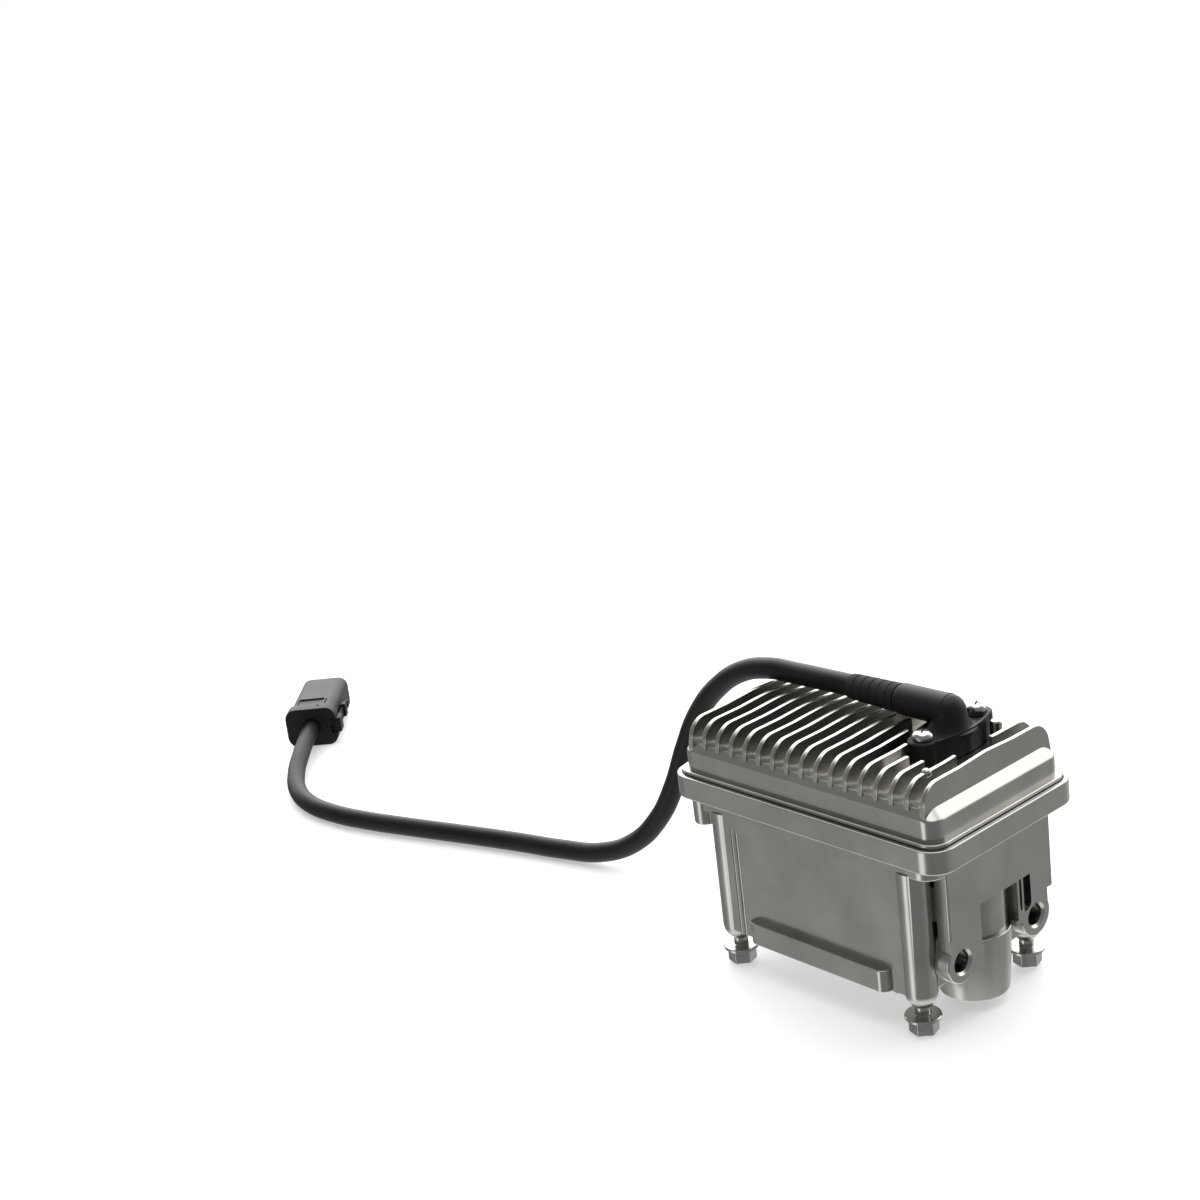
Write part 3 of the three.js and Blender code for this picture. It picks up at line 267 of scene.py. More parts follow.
def put(piece, x, y, z, turn=(0, 0, 0)):
    """Turns a piece that was made at the origin and moves it to its place."""
    piece.rotation_euler = turn
    piece.location = (x * MM, y * MM, z * MM)
    return settle(piece, piece.name)


# %% Join and cut
def boolean(body, others, operation):
    """Joins the others to the body, or cuts them out of it, and removes them."""
    tools = bpy.data.collections.new("tools")
    for other in others:
        tools.objects.link(other)
    step = body.modifiers.new(operation.lower(), "BOOLEAN")
    step.operation = operation
    step.operand_type = "COLLECTION"
    step.collection = tools
    step.solver = "EXACT"
    bpy.ops.object.select_all(action="DESELECT")
    bpy.context.view_layer.objects.active = body
    bpy.ops.object.modifier_apply(modifier=step.name)
    for other in others:
        bpy.data.objects.remove(other)
    bpy.data.collections.remove(tools)
    return body


# %% Shade a piece and hand it to the frame
def complete(piece, nodes, body, material, angle=32):
    """Smooths the shading, gives the finish, and says what the piece replaces and rides on."""
    bpy.ops.object.select_all(action="DESELECT")
    piece.select_set(True)
    bpy.context.view_layer.objects.active = piece
    bpy.ops.object.shade_smooth_by_angle(angle=math.radians(angle))
    level = piece.modifiers.new("even_shading", "WEIGHTED_NORMAL")
    level.keep_sharp = True
    bpy.ops.object.modifier_apply(modifier=level.name)
    piece.data.materials.clear()
    piece.data.materials.append(material)
    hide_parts(*nodes)
    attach(piece, body)
    print(piece.name, len(piece.data.polygons), "faces")
    return piece


# %% [markdown]
# ## The lead
# The lead is 9 mm thick and 480 mm long from the gland to the connector. It runs over the fin
# tops, comes down past the left end in one bend and lies on the table. A cord can be a mesh
# tube, but a Bezier curve with a round bevel keeps its exact thickness along the whole way.

# %% The lead
sleeve_low, sleeve_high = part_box("strain_relief")
sleeve_mouth_x = sleeve_high[0] / MM
lead_height = (sleeve_low[2] + sleeve_high[2]) / 2 / MM
lead_route = [
    (sleeve_mouth_x, 13, lead_height), (-4, 13, lead_height),
    (-16.6, 13, 110.6), (-31, 13, 110.3), (-46, 13, 109.9), (-60.5, 12.7, 109.3),
    (-75.5, 12, 105.2), (-89.5, 10.5, 95.8), (-101, 8.5, 82.2), (-109.5, 6.5, 65),
    (-117, 4.5, 46.5), (-127, 2, 29), (-141.5, -1.5, 14.6), (-160, -6, 6.6),
    (-181, -11.5, 4.7), (-202, -17.5, 4.7), (-223, -24, 4.7), (-244, -31, 4.7),
    (-265, -38, 4.7), (-286, -44.5, 4.7), (-307, -49, 4.7), (-328, -49.5, 4.8),
    (-347.5, -44, 5.4), (-364.5, -33, 7), (-379, -19.5, 9.2), (-391.5, -7, 10.5),
    (-401.5, 3, 10.7),
]
lead_line = bpy.data.curves.new("cable_piece", "CURVE")
lead_line.dimensions = "3D"
lead_line.resolution_u = 10
lead_radius = 4.5
lead_line.bevel_depth = lead_radius * MM
lead_line.bevel_resolution = 10
lead_line.use_fill_caps = True
spline = lead_line.splines.new("BEZIER")
spline.bezier_points.add(len(lead_route) - 1)
for knot, spot in zip(spline.bezier_points, lead_route):
    knot.co = Vector(spot) * MM
    knot.handle_left_type = knot.handle_right_type = "AUTO"
lead = bpy.data.objects.new("cable_piece", lead_line)
bpy.context.scene.collection.objects.link(lead)
lead.data.materials.append(cable_jacket)
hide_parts("cable")
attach(lead, "housing")
bpy.context.view_layer.update()
lead_length = sum((Vector(b) - Vector(a)).length for a, b in zip(lead_route, lead_route[1:]))
print("straight steps of the lead add up to", round(lead_length, 1), "mm")

# %% [markdown]
# ## The base casting
# The base is a tub that hangs under a wide rim. The rim, the band under it and the tub are
# slabs with rounded corners; the posts are turned. They are joined with one Boolean and then
# cut, because a casting is one piece and shows no seams.

# %% The rim, the band and the tub
rim_high = Vector(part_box("base_housing")[1]) / MM
rim_top = rim_high.z
rim_x, rim_y = rim_high.x, rim_high.y
bolt_low, bolt_high = (Vector(c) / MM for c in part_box("mounting_bolt_front_right"))
post_x, post_y = (bolt_low.x + bolt_high.x) / 2, -(bolt_low.y + bolt_high.y) / 2
wall_y = rim_y - 4.8
tub_left, tub_right = -rim_x + 15.5, rim_x - 18
tub_bottom, band_bottom, rim_bottom = 15.5, rim_top - 15.5, rim_top - 9.5
plate_x = rim_x - 8

rim = slab("base_housing_piece", (-rim_x, -rim_y, rim_bottom), (rim_x, rim_y, rim_top),
           9.4, top=0.5, bottom=0.9)
band = slab("band", (tub_left - 10, -wall_y, band_bottom), (plate_x, wall_y, rim_bottom + 1),
            7, bottom=0.7)
tub = slab("tub", (tub_left, -wall_y, tub_bottom), (tub_right, wall_y, band_bottom + 1),
           5.5, bottom=1.6)
print("tub", round(tub_right - tub_left, 1), "mm long")

# %% The posts and the lugs
post_profile = [(3.6, 11.6), (3.9, 11.9), (5.2, 13.6), (6.0, 15.2), (6.4, 17.5), (6.5, 67.5)]
posts = [put(turned("post", post_profile, 48), sx * post_x, sy * post_y, 0)
         for sx in (-1, 1) for sy in (-1, 1)]
lug_x, lug_y = -rim_x + 10.5, wall_y - 3.8
lug_profile = [(3.9, 60.0), (4.5, 60.3), (4.75, 61.0), (4.9, 73.0)]
lugs = [put(turned("lug", lug_profile, 32), lug_x, sy * lug_y, 0) for sy in (-1, 1)]
print(len(posts), "posts and", len(lugs), "lugs")

# %% [markdown]
# The ledge runs along the front wall's foot. Its ends are half round and its top edge is
# softened, so it catches one bright upright line at its right end.

# %% The ledge
ledge = slab("ledge", (-34, -wall_y - 2.5, tub_bottom), (36.5, -wall_y + 6, 24.7), 3.7,
             top=0.5, bottom=0.6)

# %% [markdown]
# At the right end a flat plate hangs from the rim and carries two drilled ears. The output
# port is a round barrel that grows out of it. All of these are joined before the holes are cut.

# %% The end plate, its ears and the port
ear_y, ear_z, ear_r = 22.2, 29.0, 8.5
plate_back = plate_x - 6.5


def side_piece(name, y0, y1, z0, z1, x0=plate_back, x1=plate_x):
    return block(name, (x0, min(y0, y1), z0), (x1, max(y0, y1), z1))


plate = soften(side_piece("plate", -28.4, 33.2, 37.6, band_bottom + 1), upright, 0.8)
ears = [axle("ear", plate_back, plate_x, sy * ear_y, ear_z, ear_r, sides=72) for sy in (-1, 1)]
for ear in ears:
    soften(ear, lambda a, b: abs(a.x - b.x) < 0.01 and a.x > plate_x - 0.1, 0.7)
hangers = [side_piece("hanger_front", -28.4, -13.7, ear_z, 40),
           side_piece("hanger_rear", 13.7, 29.6, ear_z, 40)]
webs = [side_piece("web_front", -22.2, -10, 22.4, 40), side_piece("web_rear", 10, 22.2, 29.5, 40)]
ribs = [side_piece("rib_front", -28.0, -24.2, 46, 60, tub_right - 1, plate_back + 1),
        side_piece("rib_rear", 24.2, 28.0, 46, 67, tub_right - 1, plate_back + 1)]
barrel_profile = [(12.4, 4.5), (13.2, 4.75), (13.65, 5.6), (14.7, 18.0), (15.5, 31.2),
                  (15.2, 31.5), (15.2, band_bottom + 1)]
barrel = put(turned("barrel", barrel_profile, 96), plate_x - 14, 0, 0)
flush = block("flush", (plate_x, -20, 31.4), (plate_x + 5, 20, band_bottom + 3))
boolean(barrel, [flush], "DIFFERENCE")
base = boolean(rim, [band, tub, *posts, *lugs, plate, *ears, *hangers, *webs, *ribs, barrel],
               "UNION")
print("base before cutting:", len(base.data.polygons), "faces")

# %% [markdown]
# The front and rear walls have a shallow panel with a stepped border, which shows as a double
# line. Two cutters of different size and depth give the two steps, and the edges of each are
# chamfered, so that each step catches the light.

# %% The cutters for the panels
def panel_cutter(side, half, top, depth, slope):
    face = side * wall_y
    low = (-half, min(face - side * depth, face + side * 3), 0)
    high = (half, max(face - side * depth, face + side * 3), top)
    cutter = block("panel", low, high)
    inner = face - side * depth
    return soften(cutter, lambda a, b: abs(a.y - inner) < 0.01 and abs(b.y - inner) < 0.01,
                  slope, 2)


cutters = [panel_cutter(side, half, top, depth, slope)
           for side in (-1, 1)
           for half, top, depth, slope in ((40.6, 62.6, 0.55, 0.45), (38.9, 60.9, 1.3, 0.6))]
left_panel = block("left_panel", (tub_left - 3, -23.6, 0), (tub_left + 1.3, 23.6, 61.9))
cutters.append(soften(left_panel, lambda a, b: abs(a.x - b.x) < 0.01 and a.x > tub_left, 0.8, 2))
boolean(base, cutters, "DIFFERENCE")
boolean(base, [ledge], "UNION")

# %% [markdown]
# The remaining cuts hollow the tub, open the port from below, and drill the ears, posts and
# lugs. The rim gets the step that the lid drops into, which leaves a dark line around the lid.

# %% The cutters for hollows and holes
port_x = plate_x - 14
cavity = slab("cavity", (tub_left + 3.6, -33.7, 19.1), (tub_right - 14, 33.7, 71), 9)
chamber = slab("chamber", (tub_left - 6, -33.7, 69.5), (tub_right + 6, 33.7, 90), 4)
rebate = slab("rebate", (-rim_x + 1.7, -rim_y + 1.7, rim_top - 2.5),
              (rim_x - 1.7, rim_y - 1.7, rim_top + 5), 7.7)
socket = drum("socket", port_x, 0, 3, 29.5, 11.2, sides=96)
wire_hole = drum("wire_hole", port_x, 0, 28, 34, 7)
ear_holes = [axle("ear_hole", plate_back - 1, plate_x + 1, sy * ear_y, ear_z, 4.2, sides=64)
             for sy in (-1, 1)]
ear_rims = [axle("ear_rim", plate_x - 1.0, plate_x + 0.2, sy * ear_y, ear_z, 4.2, 5.4, sides=64)
            for sy in (-1, 1)]
bolt_hole = 3.3
post_holes = [drum("post_hole", sx * post_x, sy * post_y, 10, 80, bolt_hole, sides=32)
              for sx in (-1, 1) for sy in (-1, 1)]
lug_holes = [turned("lug_hole", [(3.2, 59), (3.2, 63), (1.8, 63), (1.8, 80)], 32)
             for sy in (-1, 1)]
for hole, sy in zip(lug_holes, (-1, 1)):
    put(hole, lug_x, sy * lug_y, 0)
vent_hole = axle("vent_hole", tub_left - 2, tub_left + 6, 0, 47, 4.3)
boolean(base, [cavity, chamber, rebate, socket, wire_hole, *ear_holes, *ear_rims, *post_holes,
               *lug_holes, vent_hole], "DIFFERENCE")
print("base after drilling:", len(base.data.polygons), "faces")

# %% [markdown]
# Two pockets lighten the plate: a wide window over the port, whose back is round like the
# barrel, and a narrow pocket by the rear ear with one upright rib left standing in it.

# %% The window and the narrow pocket
window = block("window", (port_x + 4, -10.6, 31.5), (plate_x + 6, 11.5, 47.6))
window_back = drum("window_back", port_x, 0, 30, 49, 14.0, sides=96)
boolean(window, [window_back], "DIFFERENCE")
pocket = block("pocket", (plate_x - 5.5, 12.8, 33.5), (plate_x + 1, 19.6, 47.7))
soften(pocket, lambda a, b: abs(a.z - 33.5) < 0.01 and abs(b.z - 33.5) < 0.01
       and abs(a.y - b.y) < 0.01, 3.0, 5)
rib = block("rib", (plate_x - 6.5, 15.6, 30), (plate_x - 1.2, 16.8, 50))
boolean(pocket, [rib], "DIFFERENCE")
boolean(base, [window, pocket], "DIFFERENCE")
complete(base, ["base_housing"], "housing", cast_aluminium)

# %% [markdown]
# ## The lid
# The lid drops into the rim on a flat flange. A plain skirt rises from it and turns over a
# sloped shoulder into a deck that carries 17 fins. The shoulder is made by extruding the
# skirt's top face and drawing it in.

# %% The flange, the skirt and the shoulder
lid_low = Vector(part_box("finned_lid")[0]) / MM
skirt_x, skirt_y, skirt_top = rim_x - 4.35, rim_y - 4.35, rim_top + 9.4
fin_face_x, fin_foot_y = 59.2, 36.05
flange = slab("finned_lid_piece", (-rim_x + 2.2, -rim_y + 2.2, lid_low.z),
              (rim_x - 2.2, rim_y - 2.2, lid_low.z + 2.5), 7.2, top=0.5)
skirt = slab("skirt", (-skirt_x, -skirt_y, lid_low.z + 0.5), (skirt_x, skirt_y, skirt_top), 6.2)
bpy.ops.object.select_all(action="DESELECT")
bpy.context.view_layer.objects.active = skirt
bpy.ops.object.mode_set(mode="EDIT")
bpy.ops.mesh.select_mode(type="FACE")
bpy.ops.mesh.select_all(action="DESELECT")
shape = bmesh.from_edit_mesh(skirt.data)
for face in shape.faces:
    if face.normal.z > 0.9:
        face.select_set(True)
bmesh.update_edit_mesh(skirt.data)
bpy.ops.mesh.extrude_region_move(TRANSFORM_OT_translate={"value": (0, 0, 3.6 * MM)})
bpy.ops.transform.resize(value=(fin_face_x / skirt_x, fin_foot_y / skirt_y, 1),
                         center_override=(0, 0, 0))
bpy.ops.object.mode_set(mode="OBJECT")
soften(skirt, at_height(skirt_top), 0.6)
deck = block("deck", (-fin_face_x + 0.3, -skirt_y + 1.2, rim_top + 5),
             (fin_face_x - 0.3, skirt_y - 1.2, rim_top + 14.2))
soften(deck, lambda a, b: a.z > rim_top + 14 and b.z > rim_top + 14 and abs(a.x - b.x) > 1, 4.4,
       6)

# %% [markdown]
# One fin is a thin block whose top corners are rounded and whose crest rises a little towards
# the middle. Its foot is wider than its crest, as a casting needs to leave its mould. The
# finished fin is copied along the deck.

# %% One fin
fin_top, fin_half = rim_top + 22.2, 0.9
fin = block("fin", (-fin_half, -fin_foot_y, rim_top + 8), (fin_half, fin_foot_y, fin_top))
bpy.ops.object.mode_set(mode="EDIT")
for cut_y in (-15.6, 0, 15.6):
    bpy.ops.mesh.select_all(action="SELECT")
    bpy.ops.mesh.bisect(plane_co=(0, cut_y * MM, 0), plane_no=(0, 1, 0))
bpy.ops.mesh.select_mode(type="VERT")
bpy.ops.mesh.select_all(action="DESELECT")
shape = bmesh.from_edit_mesh(fin.data)
for corner in shape.verts:
    if abs(corner.co.y) < 0.0001 and corner.co.z > fin_top * MM - 0.0001:
        corner.select_set(True)
bmesh.update_edit_mesh(fin.data)
bpy.ops.transform.translate(value=(0, 0, 0.8 * MM))
bpy.ops.mesh.select_all(action="DESELECT")
shape = bmesh.from_edit_mesh(fin.data)
for corner in shape.verts:
    if corner.co.z < fin_top * MM - 0.002:
        corner.select_set(True)
bmesh.update_edit_mesh(fin.data)
bpy.ops.transform.resize(value=(1.45, 1.03, 1), center_override=(0, 0, 0))
bpy.ops.object.mode_set(mode="OBJECT")
soften(fin, lambda a, b: abs(a.x - b.x) > 1 and abs(a.y) > 30 and a.z > fin_top - 1, 8.0, 8)
soften(fin, lambda a, b: abs(abs(a.x) - fin_half) < 0.35 and abs(a.x - b.x) < 0.4
       and a.z > rim_top + 9 and b.z > rim_top + 9, 0.35, 2)
print("one fin:", len(fin.data.polygons), "faces")

# %% Copy the fin 17 times and join the lid
fin_pitch, fin_count = 7.2875, 17
fins = []
for place in range(fin_count):
    copy = fin.copy()
    copy.data = fin.data.copy()
    bpy.context.scene.collection.objects.link(copy)
    copy.location.x = (place - (fin_count - 1) / 2) * fin_pitch * MM
    fins.append(settle(copy, "fin_copy"))
bpy.data.objects.remove(fin)
lid = boolean(flange, [skirt, deck, *fins], "UNION")
print("lid:", len(lid.data.polygons), "faces")

# %% [markdown]
# The fins stop around the gland in steps. The stepped pocket is made of overlapping blocks and
# cut out of the whole lid at once, and then the gland's seat, a small pillar and a ball-headed
# pin are added back.

# %% The stepped pocket and what stands in it
pocket_floor, pocket_rear = rim_top + 13.3, rim_y + 1
pocket_steps = [(11.4, 30, 10.5, 21.4), (18.6, 30, 0.1, 21.4), (24.7, 47.4, -9.4, 30),
                (32.8, 47.4, -17.6, 0), (24.6, 54.6, -8.5, 12.7),
                (24.5, 49, 12.5, pocket_rear), (23, 30, 0.2, pocket_rear)]
hollows = [block("step", (x0, y0, pocket_floor), (x1, y1, rim_top + 30))
           for x0, x1, y0, y1 in pocket_steps]
boolean(lid, hollows, "DIFFERENCE")
gland_x, gland_y, gland_screw_y = 32, 13, 16
seat = [drum("seat", gland_x, gland_y, rim_top + 9, pocket_floor, 11),
        drum("seat", gland_x, gland_y - gland_screw_y, rim_top + 9, pocket_floor, 6.1),
        drum("seat", gland_x, gland_y + gland_screw_y, rim_top + 9, pocket_floor, 6.1)]
pillar = put(turned("pillar", [(2.6, 91), (2.3, 102.6), (1.9, 103.2), (1.2, 103.3)], 32),
             gland_x + 9.6, gland_y + 15, 0)
bpy.ops.object.select_all(action="DESELECT")
bpy.ops.mesh.primitive_uv_sphere_add(segments=24, ring_count=14, radius=1.9 * MM,
                                     location=(51.0 * MM, -24.4 * MM, 103.6 * MM))
ball = settle(bpy.context.active_object, "ball_pin")
boolean(lid, [*seat, pillar, ball], "UNION")

# %% The hollow under the lid
hollow = slab("hollow", (-skirt_x + 4.6, -skirt_y + 3.6, lid_low.z - 1),
              (skirt_x - 4.6, skirt_y - 3.6, rim_top + 9.3), 4)
bosses = [drum("boss", sx * post_x, sy * post_y, lid_low.z - 2, rim_top + 10, 5.8, sides=32)
          for sx in (-1, 1) for sy in (-1, 1)]
bosses += [drum("boss", lug_x, sy * lug_y, lid_low.z - 2, rim_top + 10, 4, sides=32)
           for sy in (-1, 1)]
boolean(hollow, bosses, "DIFFERENCE")
lid_holes = [drum("lid_hole", sx * post_x, sy * post_y, lid_low.z - 1, 91.9, bolt_hole, sides=32)
             for sx in (-1, 1) for sy in (-1, 1)]
lid_holes.append(drum("cable_hole", gland_x, gland_y, rim_top + 2, rim_top + 16, 5))
boolean(lid, [hollow, *lid_holes], "DIFFERENCE")
complete(lid, ["finned_lid"], "housing", cast_aluminium)

# %% [markdown]
# ## The bolts
# Each bolt has a hexagon head, a flange and a thin bright shank that shows in the gap under
# its post. The hexagon is a six-sided cone with its rim cut back, the rest is turned, and the
# finished bolt is copied to the other three corners.

# %% One bolt
hexagon = drum("mounting_bolt_piece", 0, 0, 0.5, 6.6, 5.77, sides=6)
soften(hexagon, upright, 0.25, 2)
soften(hexagon, at_height(0.5), 0.5, 2)
crown = turned("crown", [(4.2, 0.0), (4.8, 0.6), (4.8, 1.5)], 48)
flange_profile = [(5.6, 6.0), (6.85, 6.35), (7.1, 6.6), (7.1, 7.35), (6.8, 7.75), (3.4, 7.8),
                  (3.0, 8.0), (3.0, 86.8), (2.1, 87.8)]
shank = turned("shank", flange_profile, 48)
bolt = boolean(hexagon, [crown, shank], "UNION")
print("one bolt:", len(bolt.data.polygons), "faces")

# %% Copy the bolt to the corners
for corner, sx, sy in (("front_left", -1, -1), ("front_right", 1, -1), ("rear_left", -1, 1),
                       ("rear_right", 1, 1)):
    copy = bolt.copy()
    copy.data = bolt.data.copy()
    bpy.context.scene.collection.objects.link(copy)
    copy.name = f"mounting_bolt_{corner}_piece"
    put(copy, sx * post_x, sy * post_y, 0, (0, 0, math.pi / 12))
    complete(copy, [f"mounting_bolt_{corner}"], f"bolt_{corner}", bright_steel)
bpy.data.objects.remove(bolt)

# %% [markdown]
# ## The screws
# The gland and the lugs are held by pan-head screws with a cross recess. The head is a turned
# dome, and two thin blocks cut the cross.

# %% The screws of the gland and the lugs
def pan_screw(name, radius, height, shank_radius, length):
    profile = [(radius * 0.35, height), (radius * 0.7, height * 0.93), (radius * 0.9, height * 0.7),
               (radius, height * 0.38), (radius, 0), (shank_radius, 0), (shank_radius, -length)]
    screw = turned(name, profile, 48)
    arm, width = radius * 0.5, radius * 0.2
    cross = [block("cross", (-arm, -width / 2, height * 0.45), (arm, width / 2, height + 1)),
             block("cross", (-width / 2, -arm, height * 0.45), (width / 2, arm, height + 1))]
    return boolean(screw, cross, "DIFFERENCE")


gland_head, lid_head = 2.9, 2.2
for side in ("front", "rear"):
    low, high = (Vector(c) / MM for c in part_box(f"gland_screw_{side}"))
    screw = pan_screw(f"gland_screw_{side}_piece", 4.1, gland_head, 2.0, 11.2)
    put(screw, (low.x + high.x) / 2, (low.y + high.y) / 2, high.z - gland_head, (0, 0, 0.5))
    complete(screw, [f"gland_screw_{side}"], "housing", bright_steel)
    low, high = (Vector(c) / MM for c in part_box(f"lid_screw_{side}"))
    screw = pan_screw(f"lid_screw_{side}_piece", 2.8, lid_head, 1.5, 20)
    put(screw, (low.x + high.x) / 2, (low.y + high.y) / 2, low.z + lid_head, (math.pi, 0, 0.4))
    complete(screw, [f"lid_screw_{side}"], "housing", bright_steel)

# %% [markdown]
# ## The gland
# The gland is a black elbow: an oblong flange with a screw in each end, a hub in the middle,
# and a sleeve that turns the lead towards the left. It is built from turned parts and blocks
# with rounded edges, and joined.

# %% The gland's body
flange_foot = (Vector(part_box("gland_body")[0]) / MM).z
flange_top = flange_foot + 9.2
ear_profile = [(5.9, flange_foot), (5.9, flange_top - 0.5), (5.4, flange_top)]
gland = put(turned("gland_body_piece", ear_profile, 48), gland_x, gland_y - gland_screw_y, 0)
rear_ear = put(turned("rear_ear", ear_profile, 48), gland_x, gland_y + gland_screw_y, 0)
bow = 3
flange_half = 8.9
bow_radius = (gland_screw_y ** 2 + bow ** 2) / (2 * bow)


def lens(name, half, z0, z1):
    """A plate with two bowed sides, widest in the middle."""
    left, right = (drum(name, gland_x + s * (bow_radius - flange_half), gland_y, z0, z1,
                        bow_radius - flange_half + half, sides=256) for s in (-1, 1))
    limits = block("limits", (gland_x - 20, gland_y - gland_screw_y, z0 - 1),
                   (gland_x + 20, gland_y + gland_screw_y, z1 + 1))
    return boolean(boolean(left, [right], "INTERSECT"), [limits], "INTERSECT")


foot_plate = lens("foot_plate", flange_half, flange_foot, flange_top)
heel = [(6.5 * math.cos(math.radians(turn)), lead_height + 6.3 * math.sin(math.radians(turn)))
        for turn in (0, 15, 30, 45, 60, 72, 82, 88)]
hub = put(turned("hub", [(9.2, flange_foot), (9.2, flange_top - 1.2), (8.6, flange_top - 0.4),
                         (7.2, flange_top + 1.6), *heel], 64), gland_x, gland_y, 0)
lip = put(turned("lip", [(9.4, flange_top - 2.6), (10.3, flange_top - 2.2),
                         (10.3, flange_top - 0.9), (9.4, flange_top - 0.5)], 64),
          gland_x, gland_y, 0)
sleeve = put(turned("sleeve", [(5.0, 0), (5.6, 0.25), (6.2, 1.4), (6.3, 12), (6.5, 23.4)], 64),
             8.6, gland_y, lead_height, (0, math.pi / 2, 0))
boolean(gland, [rear_ear, foot_plate], "UNION")
boolean(gland, [lens("groove", 7.7, flange_top - 0.9, flange_top + 1)], "DIFFERENCE")
pads = [put(turned("pad", [(4.9, flange_top - 2), (4.9, flange_top - 0.1), (4.7, flange_top)]),
            gland_x, gland_y + s * gland_screw_y, 0) for s in (-1, 1)]
boolean(gland, [*pads, hub, lip, sleeve], "UNION")
bore = axle("bore", 7, gland_x, gland_y, lead_height, 4.6)
drop = drum("drop", gland_x, gland_y, flange_foot - 1, lead_height, 4.2)
screw_holes = [drum("screw_hole", gland_x, gland_y + s * gland_screw_y, flange_foot - 1,
                    flange_top + 1, 2.3) for s in (-1, 1)]
boolean(gland, [bore, drop, *screw_holes], "DIFFERENCE")
complete(gland, ["gland_body"], "housing", black_plastic)

# %% [markdown]
# The strain relief is a short tapered boot with soft rings. It is turned from a closed profile,
# so that it has a wall and a bore around the lead.

# %% The strain relief
boot = [(4.55, 0.0), (5.7, 0.0), (5.75, 0.6)]
for ring in range(5):
    start, size = 2.4 + ring * 4.2, 5.72 - ring * 0.11
    boot += [(size, start), (size - 0.28, start + 0.35), (size - 0.28, start + 1.0),
             (size - 0.02, start + 1.35)]
boot += [(5.12, 23.4), (4.95, 24.0), (4.55, 24.0), (4.55, 0.0)]
relief = put(turned("strain_relief_piece", boot, 56, closed=True), sleeve_mouth_x, gland_y,
             lead_height, (0, -math.pi / 2, 0))
complete(relief, ["strain_relief"], "housing", black_rubber)

# %% [markdown]
# ## The connector
# The connector is a flat rounded tube with an open mouth, a collar at its back and a latch on
# its right side. It is built along +Y from the CAD sizes, laid at 45 degrees at the end, and
# each part is one slab with rounded long edges.

# %% A rounded bar along Y
connector_axis, connector_foot = 10.7, 0.3
shell_start = connector_foot + 8.3


def bar(name, width, thickness, radius, y0, y1, rounding=0.0):
    """A bar along Y whose four long edges are rounded, with its ends softened."""
    piece = block(name, (-width / 2, y0, connector_axis - thickness / 2),
                  (width / 2, y1, connector_axis + thickness / 2))
    soften(piece, lambda a, b: abs(a.y - b.y) > 1, radius, 7)
    if rounding:
        soften(piece, lambda a, b: abs(a.y - b.y) < 0.01 and abs(a.y - y0) < 0.01, rounding, 2)
        soften(piece, lambda a, b: abs(a.y - b.y) < 0.01 and abs(a.y - y1) < 0.01, rounding, 2)
    return piece


def lay_down(piece):
    return put(piece, -401.5, 3, 0, (0, 0, math.pi / 4))


# %% The shell
shell = bar("connector_shell_piece", 25, 19, 5, shell_start, shell_start + 41, 0.4)
mouth = bar("mouth", 21.4, 15.4, 3.6, shell_start + 17, shell_start + 43)
rear_bore = bar("rear_bore", 10.6, 10.6, 5.2, shell_start - 1, shell_start + 13)
passage = bar("passage", 9, 9, 4.4, shell_start - 1, shell_start + 18)
top_face = connector_axis + 9.5
recess = block("recess", (-8.5, shell_start + 1.2, top_face - 0.7),
               (5.5, shell_start + 10.5, top_face + 1))
slot = block("slot", (6.3, shell_start + 1.2, top_face - 0.9),
             (7.1, shell_start + 9, top_face + 1))
bridge = block("bridge", (11.5, shell_start + 13.2, connector_axis - 3.6),
               (15.3, shell_start + 18, connector_axis + 3.6))
soften(bridge, lambda a, b: a.x > 15 and b.x > 15, 0.5, 2)
tunnel = block("tunnel", (11.9, shell_start + 12, connector_axis - 2.6),
               (14.2, shell_start + 19, connector_axis + 2.6))
channel = block("channel", (11.2, shell_start - 1, connector_axis - 3),
                (13.5, shell_start + 12.5, connector_axis + 3))
boolean(shell, [bridge], "UNION")
boolean(shell, [mouth, rear_bore, passage, recess, slot, tunnel, channel], "DIFFERENCE")
complete(lay_down(shell), ["connector_shell"], "housing", black_plastic)

# %% The collar
collar = bar("connector_collar_piece", 27.4, 21.4, 5.6, connector_foot, connector_foot + 8, 0.5)
collar_bore = bar("collar_bore", 9.6, 9.6, 4.7, -1, 12)
dimple = drum("dimple", 4.2, connector_foot + 4.6, 20.8, 24, 0.8, sides=20)
latch_seat = block("latch_seat", (10.5, -1, connector_axis - 4.4),
                   (20, 12, connector_axis + 4.4))
boolean(collar, [collar_bore, dimple, latch_seat], "DIFFERENCE")
complete(lay_down(collar), ["connector_collar"], "housing", black_plastic)

# %% The latch
latch = soften(block("connector_latch_piece", (12.2, connector_foot + 0.6, connector_axis - 4),
                     (16.0, connector_foot + 7.6, connector_axis + 4)),
               lambda a, b: a.x > 15.9 and b.x > 15.9, 0.6, 3)
arm = block("arm", (13.0, connector_foot + 2, connector_axis - 2.2),
            (13.8, shell_start + 24, connector_axis + 2.2))
hook = soften(block("hook", (13.3, shell_start + 22, connector_axis - 2.2),
                    (15.0, shell_start + 24, connector_axis + 2.2)),
              lambda a, b: a.x > 14.9 and b.x > 14.9, 0.4, 2)
boolean(latch, [arm, hook], "UNION")
complete(lay_down(latch), ["connector_latch"], "latch", black_plastic)

# %% Print the pieces at the lead's end
print("on the lead:", ", ".join(piece.name for piece in (shell, collar, latch)))

# %% [markdown]
# ## The pieces inside
# The boards, the transformer, the capacitors and the seals are right as the CAD has them. They
# keep their meshes and get their finishes here.

